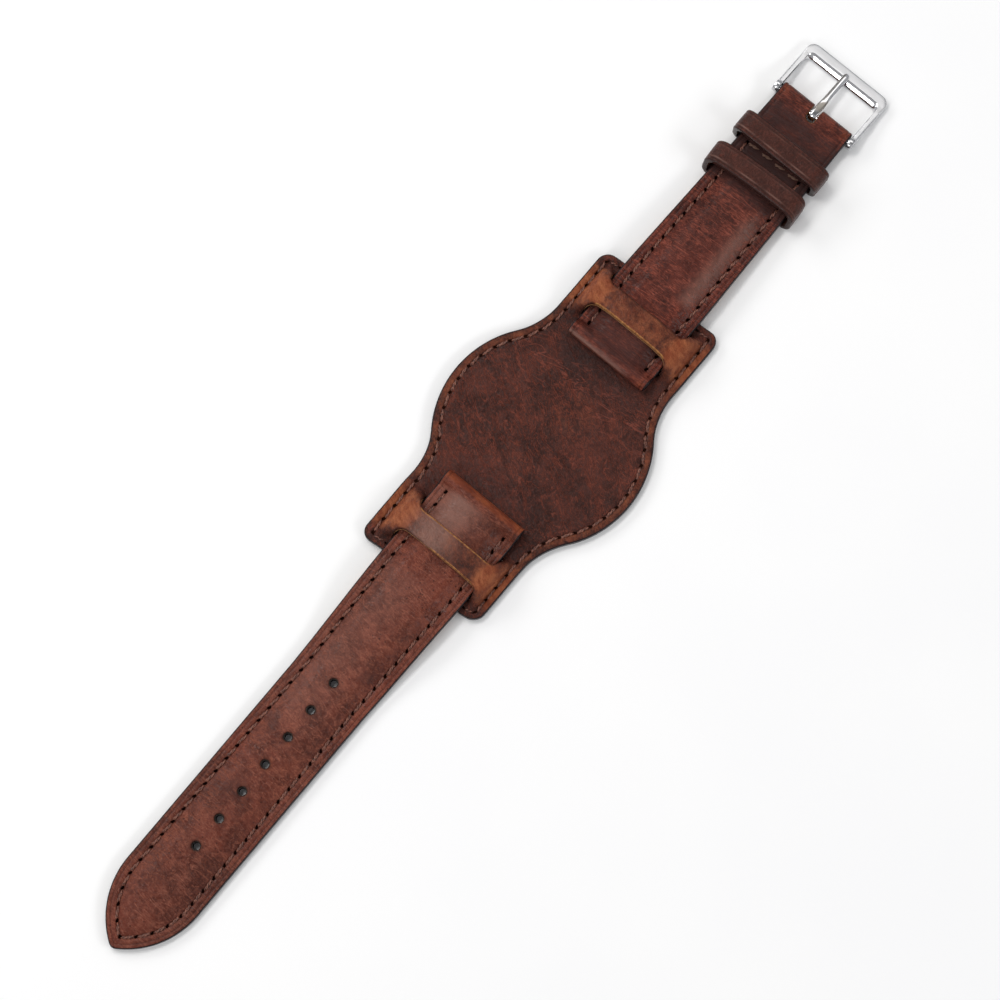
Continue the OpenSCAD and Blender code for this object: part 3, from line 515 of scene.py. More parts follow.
class Nodes:
    """Short names for the nodes of one material, or of the world. A colour is six sRGB digits."""

    def __init__(self, name, owners=bpy.data.materials, shader="Principled BSDF"):
        self.owner = owners.new(name)
        self.owner.use_nodes = True
        self.tree = self.owner.node_tree
        self.shader = self.tree.nodes[shader]

    def new(self, kind, **settings):
        node = self.tree.nodes.new(kind)
        for key, value in settings.items():
            setattr(node, key, value)
        return node

    def put(self, socket, value):
        if isinstance(value, bpy.types.NodeSocket):
            self.tree.links.new(value, socket)
        elif value is not None:
            socket.default_value = colour(value) if isinstance(value, str) else value

    def finish(self, base, rough, normal=None):
        for name, value in (("Base Color", base), ("Roughness", rough), ("Normal", normal)):
            self.put(self.shader.inputs[name], value)
        return self.owner

    def place(self, scale=(1, 1, 1), turn=0.0):
        """The point's place in millimetres, turned about Z by turn degrees, then stretched by scale."""
        turned = self.new("ShaderNodeVectorRotate", rotation_type="Z_AXIS")
        turned.inputs["Angle"].default_value = math.radians(turn)
        self.put(turned.inputs["Vector"], self.new("ShaderNodeTexCoord").outputs["Object"])
        mapping = self.new("ShaderNodeMapping")
        mapping.inputs["Scale"].default_value = [s / MM for s in scale]
        self.put(mapping.inputs["Vector"], turned.outputs["Vector"])
        return mapping.outputs["Vector"]

    def noise(self, vector, scale, detail=3.0, rough=0.5, distortion=0.0):
        node = self.new("ShaderNodeTexNoise")
        self.put(node.inputs["Vector"], vector)
        settings = {"Scale": scale, "Detail": detail, "Roughness": rough, "Distortion": distortion}
        for key, value in settings.items():
            node.inputs[key].default_value = value
        return node.outputs["Fac"]

    def cells(self, vector, scale, feature="DISTANCE_TO_EDGE"):
        node = self.new("ShaderNodeTexVoronoi", feature=feature)
        self.put(node.inputs["Vector"], vector)
        node.inputs["Scale"].default_value = scale
        return node.outputs["Distance"]

    def number(self, name):
        return self.new("ShaderNodeAttribute", attribute_name=name).outputs["Fac"]

    def math(self, operation, a, b=None):
        node = self.new("ShaderNodeMath", operation=operation)
        for socket, value in zip(node.inputs, (a, b)):
            self.put(socket, value)
        return node.outputs[0]

    def times(self, a, b):
        return self.math("MULTIPLY", a, b)

    def plus(self, a, b):
        return self.math("ADD", a, b)

    def size(self, a):
        return self.math("ABSOLUTE", a)

    def rest(self, a):
        return self.math("SUBTRACT", 1.0, a)

    def near(self, value, middle, width):
        """1 where value is middle, falling to 0 at width away from it."""
        return self.span(self.size(self.math("SUBTRACT", value, middle)), 0.0, width, 1.0, 0.0)

    def span(self, value, low, high, to_low=0.0, to_high=1.0):
        """value from low to high, spread smoothly over to_low to to_high."""
        node = self.new("ShaderNodeMapRange", interpolation_type="SMOOTHSTEP")
        for socket, number in zip(node.inputs, (value, low, high, to_low, to_high)):
            self.put(socket, number)
        return node.outputs["Result"]

    def blend(self, amount, a, b):
        node = self.new("ShaderNodeMix", data_type="RGBA")
        for socket, value in ((node.inputs[0], amount), (node.inputs[6], a), (node.inputs[7], b)):
            self.put(socket, value)
        return node.outputs[2]

    def coat(self, base, amount, paint, share):
        """base with share of paint laid over it where amount is 1."""
        return self.blend(self.times(amount, share), base, paint)

    def bump(self, height, distance, strength=1.0, normal=None):
        node = self.new("ShaderNodeBump")
        node.inputs["Strength"].default_value = strength
        node.inputs["Distance"].default_value = distance * MM
        self.put(node.inputs["Height"], height)
        self.put(node.inputs["Normal"], normal)
        return node.outputs["Normal"]


def leather(name, tones, turn, stretch, wrinkle, streak, grain, gloss, pores=0.0, spread=0.11,
            paint=EDGE_PAINT, buff=("6c3120", "8e4b2f"), pierced="100605", swirl=1.4):
    """Waxed brown leather in tones from dark to light. turn and stretch lay its wrinkles, and wrinkle, grain
    and swirl say how deep, how rough and how crooked it is. The points' numbers say where it is rubbed
    (tan), where a sheen is painted in (painted_sheen), where it has dark stains or painted shade
    (stain_and_shade), cracked (worn), cut (raw), painted (edge), creased or darkened (line), and where its
    stitch holes are (row_s, row_e)."""
    dark, middle, light = tones
    n = Nodes(name)
    at = n.place()
    broad = n.noise(at, 0.07, 3.0, 0.55, 0.5)
    patch = n.noise(at, 0.30, 5.0, 0.62, 0.8)
    fleck = n.noise(at, 1.6, 4.0, 0.7)
    tiny = n.noise(at, 4.6, 2.0, 0.6)
    along = n.place(stretch, turn)
    crease = n.near(n.noise(along, 1.0, 5.0, 0.6, swirl), 0.5, 0.05)
    fold = n.near(n.noise(along, 0.33, 4.0, 0.55, 2.0), 0.5, 0.022)
    pebble = n.cells(n.place((1, 1, 1), turn), 1.7)

    tone = n.span(n.plus(n.times(broad, 0.55), n.times(patch, 0.45)), 0.51 - spread, 0.51 + spread)
    base = n.blend(tone, dark, middle)
    base = n.coat(base, n.span(fleck, 0.42, 0.78), light, 0.40)
    base = n.coat(base, n.times(crease, n.span(patch, 0.42, 0.62)), light, streak)
    base = n.coat(base, fold, light, streak)
    base = n.coat(base, n.span(tiny, 0.58, 0.72), "1f100c", 0.45)
    if pores:
        dots = n.math("LESS_THAN", n.cells(at, 0.85, "F1"), 0.15)
        base = n.coat(base, n.times(dots, n.span(broad, 0.45, 0.6)), "2a120d", pores)
    crack = n.near(n.noise(n.place((0.34, 0.07, 0.3), -14), 1.0, 3.0, 0.5, 1.2), 0.5, 0.018)
    crack = n.times(crack, n.number("worn"))
    base = n.coat(base, crack, "88483a", 0.6)
    # Darker where the point's number says: dark stains, and painted shade under and between the keepers and
    # beside the rolled ends
    base = n.coat(base, n.number("stain_and_shade"), "382321", n.span(patch, 0.3, 0.65, 1.0, 0.8))
    rubbed = n.plus(n.number("tan"), n.times(n.plus(n.plus(patch, fleck), -1.0), 0.55))
    rubbed = n.span(rubbed, 0.22, 0.9)
    strokes = n.noise(along, 0.8, 4.0, 0.6, 0.4)
    tan = n.blend(n.span(n.plus(n.times(strokes, 0.65), n.times(patch, 0.35)), 0.36, 0.66), *buff)
    base = n.blend(rubbed, base, n.coat(tan, n.span(tiny, 0.52, 0.70), "5a2c1a", 0.5))
    # Painted sheen: pale greyish patches that stand in for the lamps' reflections on the lugs, a bridge and
    # the crown
    base = n.coat(base, n.number("painted_sheen"), "8e6b60", n.span(patch, 0.25, 0.6, 0.75, 1.0))
    raw = n.plus(n.number("raw"), n.times(n.plus(fleck, -0.5), 0.7))
    base = n.blend(n.span(raw, 0.30, 0.75), base, n.blend(n.span(fleck, 0.35, 0.65), "875230", "b27d4c"))
    # Darkened creases and grooves, round holes and slots, and a painted shadow on the disc beside a rolled
    # end
    base = n.coat(base, n.number("line"), "1a0c09", 0.8)
    painted = n.span(n.plus(n.number("edge"), n.times(n.plus(patch, -0.5), 0.3)), 0.4, 0.75)
    base = n.blend(painted, base, paint)

    # The stitch holes are small dark diamonds where row_s is a whole number
    s = n.times(n.plus(n.math("FRACT", n.plus(n.number("row_s"), 0.5)), -0.5), PITCH)
    across = n.number("row_e")
    slant = n.plus(s, n.times(across, 0.5))
    reach = n.plus(n.math("DIVIDE", n.size(slant), 0.64), n.math("DIVIDE", n.size(across), 0.37))
    hole = n.span(reach, 0.75, 1.15, 1.0, 0.0)
    # Painted shade along the stitch groove, either side of the thread
    base = n.coat(base, n.span(n.size(across), 0.15, 0.55, 1.0, 0.0), "23100c", 0.5)
    base = n.blend(hole, base, pierced)

    rough = n.plus(gloss, n.times(n.span(patch, 0.3, 0.7), 0.14))
    rough = n.plus(rough, n.times(n.plus(rubbed, n.number("stain_and_shade")), 0.12))
    rough = n.plus(rough, n.times(painted, -0.1))
    shine = n.plus(n.times(rubbed, -0.06), 0.17)
    n.put(n.shader.inputs["Specular IOR Level"], n.times(n.rest(hole), shine))
    keep = n.rest(painted)
    height = n.plus(n.times(n.span(pebble, 0.0, 0.25), 0.5), n.times(fleck, 0.5))
    normal = n.bump(n.times(height, keep), 0.06, grain)
    sunk = n.times(n.plus(n.plus(crease, crack), n.times(fold, 1.6)), n.times(keep, -1.0))
    normal = n.bump(sunk, 0.09, wrinkle, normal)
    return n.finish(base, rough, n.bump(n.times(hole, -1.0), 0.25, 1.0, normal))


def thread_material():
    n = Nodes("waxed_thread")
    at = n.place()
    fleck = n.noise(at, 2.6, 3.0, 0.6)
    # Painted light: the cross stitches are lighter, to make up for the shade between the keepers
    base = n.blend(n.number("painted_light"), n.blend(n.span(fleck, 0.35, 0.65), "46251c", "875544"), "765646")
    return n.finish(base, n.span(fleck, 0.3, 0.7, 0.36, 0.5), n.bump(n.noise(at, 9.0, 2.0, 0.5), 0.03, 0.5))


def lining_material():
    n = Nodes("lining_leather")
    at = n.place()
    broad, fleck = n.noise(at, 0.15, 4.0, 0.6), n.noise(at, 2.2, 4.0, 0.65)
    base = n.blend(n.span(broad, 0.35, 0.65), "a9794e", "b98a5e")
    base = n.coat(base, n.span(fleck, 0.5, 0.75), "8f6340", 0.4)
    base = n.blend(n.span(n.number("edge"), 0.4, 0.75), base, EDGE_PAINT)
    height = n.plus(n.span(n.cells(at, 2.2), 0.0, 0.2), fleck)
    return n.finish(base, n.span(broad, 0.3, 0.7, 0.62, 0.74), n.bump(height, 0.04, 0.4))


def filler_material():
    n = Nodes("filler_board")
    fleck = n.noise(n.place(), 1.6, 5.0, 0.7)
    base = n.blend(n.number("edge"), n.blend(n.span(fleck, 0.3, 0.7), "8c8378", "a89f92"), EDGE_PAINT)
    return n.finish(base, n.span(fleck, 0.3, 0.7, 0.8, 0.92), n.bump(fleck, 0.05, 0.5))


def steel(name, base, brushed):
    """Polished steel, or brushed along Y except where a point's shine is 1. Where painted_shade is 1 it is
    darker, as painted shade on the tang's tilted faces.
    """
    n = Nodes(name)
    n.shader.inputs["Metallic"].default_value = 1.0
    hair = n.noise(n.place((7, 0.25, 3)), 1.0, 3.0, 0.65)
    smudge = n.noise(n.place(), 0.35, 3.0, 0.6)
    # Painted shade: darkened toward grey-brown where the point's number says so
    base = n.blend(n.number("painted_shade"), n.blend(n.span(hair, 0.3, 0.7), base, "dcdcde"), "8f8a84")
    polish = n.span(n.plus(n.times(hair, 0.8), n.times(smudge, 0.2)), 0.3, 0.7, 0.07, 0.13)
    if brushed:
        dull = n.rest(n.number("shine"))
        rough = n.plus(polish, n.times(dull, n.span(hair, 0.3, 0.7, 0.20, 0.32)))
        return n.finish(base, rough, n.bump(n.times(hair, dull), 0.012, 0.5))
    return n.finish(base, n.plus(polish, n.times(n.number("painted_shade"), 0.2)), n.bump(smudge, 0.004, 0.4))


PAD_LEATHER = leather(
    "pad_leather", ("2f1712", "45231c", "7b3e2f"), turn=30, stretch=(1.0, 0.32, 0.8), wrinkle=0.6,
    streak=0.65, grain=0.6, gloss=0.33, buff=("7c3e27", "a2603f"), pierced="22110c")
TAIL_LEATHER = leather(
    "tail_leather", ("48221a", "6a3225", "9c5d49"), turn=4, stretch=(1.7, 0.30, 0.8), wrinkle=0.45,
    streak=0.6, grain=0.5, gloss=0.24, pores=0.7, spread=0.15)
BUCKLE_LEATHER = leather(
    "buckle_half_leather", ("371813", "51231b", "914c3c"), turn=-3, stretch=(1.7, 0.15, 0.8), wrinkle=0.55,
    streak=0.8, grain=0.3, gloss=0.27, spread=0.14, swirl=0.3)
KEEPER_LEATHER = leather(
    "keeper_leather", ("331812", "402018", "67362b"), turn=0, stretch=(0.5, 0.9, 0.8), wrinkle=0.35,
    streak=0.4, grain=0.5, gloss=0.28, spread=0.18, paint="35211e")
THREAD = thread_material()
LINING = lining_material()
FILLER = filler_material()
BRUSHED = steel("brushed_steel", "d0d0d2", True)
POLISHED = steel("polished_steel", "d2d2d6", False)


def painted_edges(plan, holes=False):
    rim = fall(plan.inset, 0.4, 0.3)
    return {"edge": np.maximum(rim, fall(plan.outset, 0.22, 0.2)) if holes else rim}


# Stitches
def row_numbers(path):
    """How far along path each of its points lies, in stitches, and how many stitches the path takes."""
    total = np.concatenate([[0], np.cumsum(np.linalg.norm(np.diff(path, axis=0), axis=1))])
    count = round(total[-1] / PITCH)
    return total / total[-1] * count, count


def strand(points, faces, over, u0, u1, proud, steps=13):
    """One stitch: two plies twisted round each other, out of one hole, over the leather and into the next.
    over(u, side) gives the leather's face at u along the row and side across it."""
    slant, depth, twists, ply_r, apart = 0.17, 0.36, 2.4, 0.175, 0.15
    t = np.linspace(0, 1, steps)
    up = np.clip(np.sin(math.pi * t), 0, 1) ** 0.42
    middle = np.array([over(u, side) for u, side in zip(mix(u0, u1, t), mix(-slant, slant, t))])
    middle[:, 2] += up * (depth + proud) - depth
    along = unit(np.gradient(middle, axis=0))
    side = unit(np.cross(along, [0, 0, 1.0]))
    outward = np.cross(side, along)
    for ply in (0, 1):
        w = math.pi * (ply + twists * t)
        path = middle + apart * (np.cos(w)[:, None] * side + 0.8 * np.sin(w)[:, None] * outward)
        tube(points, faces, path, np.full(steps, ply_r), 6)


def stitch(points, faces, over, k, proud, under_z):
    """The stitch from hole k of a row to the next. under_z gives the height of its thread underneath."""
    strand(points, faces, over, k + STITCH_END, k + 1 - STITCH_END, proud)
    a, b = over(k + THREAD_END, 0), over(k + 1 - THREAD_END, 0)
    a[2], b[2] = under_z(a), under_z(b)
    radii = [0.12, 0.19, 0.2, 0.2, 0.2, 0.19, 0.12]
    tube(points, faces, mix(a, b, np.linspace(0, 1, len(radii))[:, None]), radii, 8)


# The pad
PAD_INSETS = [0, 0.03, 0.1, 0.2, 0.32, 0.46, 0.62, 0.8, 1.0, 1.2, 1.4, 1.55, 1.68, 1.8, 1.92, 2.05, 2.2,
              2.35]
PAD_UNDER_INSETS = [0, 0.03, 0.1, 0.2, 0.32, 0.6, 1.2, 1.5, 1.65, 1.8, 1.95, 2.1]


def pad_slot_rings(outsets):
    """Rings round the four slots, whose corners are rounder towards the bridges."""
    found = []
    for x0, x1, r0, r1 in ((WINDOW_IN, BRIDGE_IN, 0.8, 2.2), (BRIDGE_OUT, WINDOW_OUT, 2.0, 0.7),
                           (-BRIDGE_IN, -WINDOW_IN, 2.2, 0.8), (-WINDOW_OUT, -BRIDGE_OUT, 0.7, 2.0)):
        loop, way = stadium(x0, x1, SLOT_HALF_W, r0, r1)
        found.append([loop + o * way for o in outsets])
    return found


def pad_values(plan, row_s):
    """The numbers that the pad's leather reads: tan beside the slots, on the bridges, along the rim and in
    two scuffs, painted sheen on one bridge, painted shade beside the rolled ends, raw where the slots are
    cut, and so on."""
    x, y = plan.xy.T
    e, h = plan.inset, plan.outset
    ax, ay = np.abs(x), np.abs(y)
    left, right = x < 0, x > 0
    beside = bell(ax - 29.9, 3.3 + 0.75 * np.maximum(0, ay - 8.6)) * rise(ay, 7.6, 2.2)
    beside *= 1 - 0.8 * rise(ax, 34.2, 2.0)
    bridge = rise(ax, BRIDGE_IN - 0.6, 0.8) * fall(ax, BRIDGE_OUT + 0.6, 0.8)
    bridge *= fall(ay, SLOT_HALF_W + 1, 1.5)
    tan = 0.92 * beside + bridge * np.where(right, 0.50, 0.40 + 0.10 * fall(y, -6, 3))
    scuffs = 0.26 * bell(np.hypot(x - 8, y + 4), 9) + 0.22 * bell(np.hypot(x + 13, y + 11), 8)
    tan = np.maximum.reduce([tan, 0.44 * bell(e - 1.1, 1.3), scuffs]) - 0.5 * rise(ax, 35.0, 2.0)
    # Painted sheen: a pale greyish patch on the left bridge's upper part
    painted_sheen = bridge * left * (0.66 * bell(y - 3.6, 4.4) + 0.03)
    worn = bell(x - 13, 6.5) * fall(ay, 19, 6) + 0.6 * bell(x + 14, 4) * fall(ay, 13, 4)
    # Painted shade on the disc beside both rolled ends; also darker by the slots' inner corners beside the
    # strap's edges
    stain_and_shade = 0.45 * bell(ax - np.where(right, 17.2, 14.6), 2.6) * fall(ay, 11.5, 3)
    unrubbed = 1 - np.minimum(1, beside * 1.5)
    stain_and_shade = np.maximum(stain_and_shade, 0.5 * bell(ax - 22.5, 3.2) * bell(ay - 11.4, 1.5) * unrubbed)
    cut = fall(h, 0.42, 0.22) * fall(ay, 9.3, 0.8)
    raw = cut * (np.abs(ax - BRIDGE_IN) < 0.75) * np.where(right, 1.0, 0.8)
    raw = np.maximum(raw, cut * (np.abs(x + BRIDGE_OUT) < 0.75) * 0.62 * fall(y, 5, 4))
    # Darker round the slot edges that aren't raw and on the left bridge's lower side, and a painted shadow
    # on the disc beside the buckle half's rolled end
    line = 0.55 * fall(h, 0.6, 0.5) * (raw < 0.1)
    line += 0.36 * bell(x - 17.9, 1.7) * fall(ay, 11.5, 3) + 0.10 * bridge * left * bell(y + 5, 3)
    row_e = np.where(e < FAR, e - PAD_STITCH_INSET, OFF_ROW)
    row_s = np.where(plan.index >= 0, row_s[np.clip(plan.index, 0, None)], 0.5)
    return dict(tan=tan, painted_sheen=painted_sheen, stain_and_shade=stain_and_shade, worn=worn, raw=raw, edge=fall(e, 0.47, 0.35), line=line,
                row_s=row_s, row_e=row_e)


def build_pad():
    row = pad_outline(PAD_STITCH_INSET)
    start = int(np.argmin(np.abs(row[:, 1]) + 100 * (row[:, 0] < 0)))

    def plan(insets, outsets, spacing):
        rings = [np.roll(pad_outline(i), -start, 0) for i in insets]
        return Plan(rings, insets, pad_slot_rings(outsets), outsets, spacing)

    def place(at, t, drop=0.0):
        x, y = at.xy.T
        return np.stack([*pad_lean(x, y), pad_height(x, y, t) - drop], 1)

    row = np.roll(row, -start, 0)
    closed = np.concatenate([row, row[:1]])
    row_at, count = row_numbers(closed)
    upper = plan(PAD_INSETS, [0, 0.03, 0.1, 0.2, 0.32, 0.45], 0.7)
    lower = plan([0, 0.6, 1.4], [0, 0.4], 1.4)
    under = plan(PAD_UNDER_INSETS, [0, 0.08, 0.2, 0.4], 1.2)

    x, y = upper.xy.T
    from_row = upper.inset - PAD_STITCH_INSET
    s = row_at[:-1][np.clip(upper.index, 0, None)]
    near = np.abs(s - np.round(s)) * PITCH
    drop = edge_drop(upper.inset, EDGE_R) + edge_drop(upper.outset, 0.38)
    drop += 0.13 * bell(from_row, 0.32) + 0.24 * bell(from_row, 0.28) * bell(near, 0.4)
    sway = 0.07 * wavy(x, y, 0, 9.0, 1.7) + 0.035 * wavy(0.5 * x + 0.9 * y, 0.5 * y - 0.4 * x, 0, 2.6, 4.2)
    drop += fall(np.hypot(x, y), 21.5, 4) * (0.06 - sway)
    recess = 0.42 * fall(np.hypot(*lower.xy.T), STIFFENER_R + 0.5, 0.4)
    plain = dict(pad_values(lower, row_at[:-1]), row_e=np.full(len(lower.xy), OFF_ROW))
    sheet(("pad_upper", "pad", PAD_LEATHER, "pad_top_leather", "upper_leather"),
          (upper, place(upper, PAD_T, drop), pad_values(upper, row_at[:-1])),
          (lower, place(lower, PAD_LINING_T, -recess), plain))

    hollow = edge_drop(under.inset, 0.3) + edge_drop(under.outset, 0.2)
    hollow += 0.3 * bell(under.inset - PAD_STITCH_INSET, 0.22)
    sheet(("pad_under", "pad", LINING, "pad_lining", "lining_leather"),
          (lower, place(lower, PAD_LINING_T - LAYER_GAP), painted_edges(lower)),
          (under, place(under, 0.0, -hollow), painted_edges(under)))

    insets = [0, 0.05, 0.15]
    board = Plan([circle(96) * (STIFFENER_R - i) for i in insets], insets, spacing=2.0)
    drop = edge_drop(board.inset, 0.12)
    sheet(("pad_board", "pad", FILLER, "pad_stiffener", "filler"),
          (board, np.column_stack([board.xy, PAD_LINING_T + STIFFENER_T - drop]), {}),
          (board, np.column_stack([board.xy, PAD_LINING_T + drop]), {}))

    def at(u):
        return np.array([np.interp(u, row_at, closed[:, c]) for c in (0, 1)])

    points, faces = [], []
    for k in range(count):
        x, y = at(k + 0.5)
        covered = abs(x) > WINDOW_OUT and abs(y) < LUG_W / 2 + 2.2
        sunk = COVERED_STITCH_SUNK if covered else PAD_STITCH_SUNK

        def over(u, side):
            p, along = at(u), unit(at(u + 0.02) - at(u))
            x, y = p + side * np.array([-along[1], along[0]])
            height = pad_height(np.array([x]), np.array([y]), PAD_T)[0]
            return np.array([*pad_lean(x, y), height - sunk])

        stitch(points, faces, over, k, PAD_STITCH_PROUD, lambda p: UNDER_THREAD_Z)
    add_piece(("pad_thread", "pad", THREAD, "pad_stitching", "thread"), points, faces, merge=False)


# The strap's two halves
STRAP_INSETS = [0, 0.03, 0.1, 0.2, 0.32, 0.46, 0.62, 0.78, 0.88, 0.97, 1.06, 1.2, 1.5, 1.8, 2.02, 2.16, 2.28,
                2.4, 2.52, 2.68, 2.95, 3.4, 3.9, 4.5, 5.1, 5.7]
STRAP_UNDER_INSETS = [0, 0.04, 0.12, 0.24, 0.5, 1.2, 2.0, 2.2, 2.35, 2.5, 2.7]


def strap_outline(s0, s1, tail):
    """The leather's flat outline from s0 to s1, anticlockwise; the tail's ends in a point instead."""
    spacing, end_n, tip_n = 0.42, 20, 46
    straight = TAIL_TIP_AT - TIP_L if tail else s1
    s = np.linspace(s0, straight, int((straight - s0) / spacing) + 1)
    if tail:
        s = np.concatenate([s, TAIL_TIP_AT - TIP_L * (1 - np.linspace(0, 1, tip_n)[1:]) ** 1.35])
    w = half_width(s, tail)
    near = [[s0, y] for y in np.linspace(0, w[0], end_n, endpoint=False)]
    far = [[s1, y] for y in np.linspace(w[-1], 0, end_n, endpoint=False)[1:]]
    side = np.stack([s, w], 1)
    upper = np.concatenate([near, side[:-1]] if tail else [near, side, far])
    return np.concatenate([upper, [[s1, 0.0]], upper[:0:-1] * [1, -1]])[::-1].copy()


def buckle_hole_rings(outsets):
    return [[[TAIL_TIP_AT - FIRST_HOLE_AT - k * HOLE_PITCH, 0] + (HOLE_R + o) * circle(28) for o in outsets]
            for k in range(HOLE_N)]


def tang_slot_rings(outsets):
    loop, way = stadium(BAR_X - TANG_SLOT_BACK, BAR_X + math.pi * FOLD_R + TANG_SLOT_ON, TANG_SLOT_R,
                        TANG_SLOT_CORNER_R, TANG_SLOT_R - 0.001, 0.3)
    return [[loop + o * way for o in outsets]]


def tail_values(s, y, h, lug):
    """Where the tail half is rubbed, where sheen is painted on it, where it has dark stains, and where it is
    pressed in or darker; h is the distance from a hole.
    """
    tan = 0.72 * fall(s, lug + 0.5, 1.0) + 0.30 * bell(h, 1.0)
    tan += 0.22 * bell(s - lug - 3, 3.0) * fall(y, -2, 4)
    tan += 0.30 * bell(s - 52, 7) * bell(y + 3.5, 3) + 0.25 * bell(s - 84, 6) * bell(y + 3, 4)
    # Painted sheen on the lug's top and along the tail near the pad
    painted_sheen = 0.64 * rise(s, lug + 0.6, 1.2) * fall(s, 28.5, 2) * bell(y - 3.5, 4.2)
    painted_sheen += 0.16 * rise(s, 37, 3) * fall(s, 82, 12) * bell(y - 3, 5)
    stain_and_shade = 0.45 * bell(s - 79, 1.8) * bell(y - 4, 1.5) + 0.45 * bell(s - 60, 1.3) * bell(y + 4.5, 1.3)
    stain_and_shade += 0.35 * bell(s - 93, 2.5) * bell(y - 2, 2)
    # Darker on the lug's lower side below the painted sheen, towards the tip, and round the holes
    line = 0.24 * rise(s, lug, 1.0) * fall(s, 28.5, 2) * bell(y + 4.6, 2.8)
    line += 0.12 * rise(s, 86, 10) + 0.25 * bell(h, 0.7)
    return tan, painted_sheen, stain_and_shade, line


def buckle_half_values(s, y, h, lug):
    tan = 0.32 * rise(s, BAR_X - 2.6, 2.4) * (1 - 0.3 * bell(y, 3))
    tan += 0.35 * bell(s - lug + 1.2, 1.2) * fall(y, -3, 3)
    # Painted highlight along the top of the rolled end, and a painted sheen band on the crown's -Y flank
    painted_sheen = 0.85 * bell(s - 19.6, 0.5) * rise(y, -7, 5)
    painted_sheen += 0.45 * bell(y + 5.0, 1.6) * rise(s, 37, 3) * fall(s, 65, 8)
    # Darker from the floating keeper to the fold, most between the keepers where it is painted shade, and on
    # the rolled end's top up to the bridge
    stain_and_shade = 0.84 * rise(s, 62, 3) * fall(s, 86, 3.5) + 0.20 * rise(s, 68, 0.5) * fall(s, 73.6, 0.5)
    stain_and_shade += 0.62 * rise(s, 20.3, 1.2) * fall(s, 30, 2) * fall(np.abs(y), 8.6, 1.4)
    return tan, painted_sheen, stain_and_shade, 0 * h


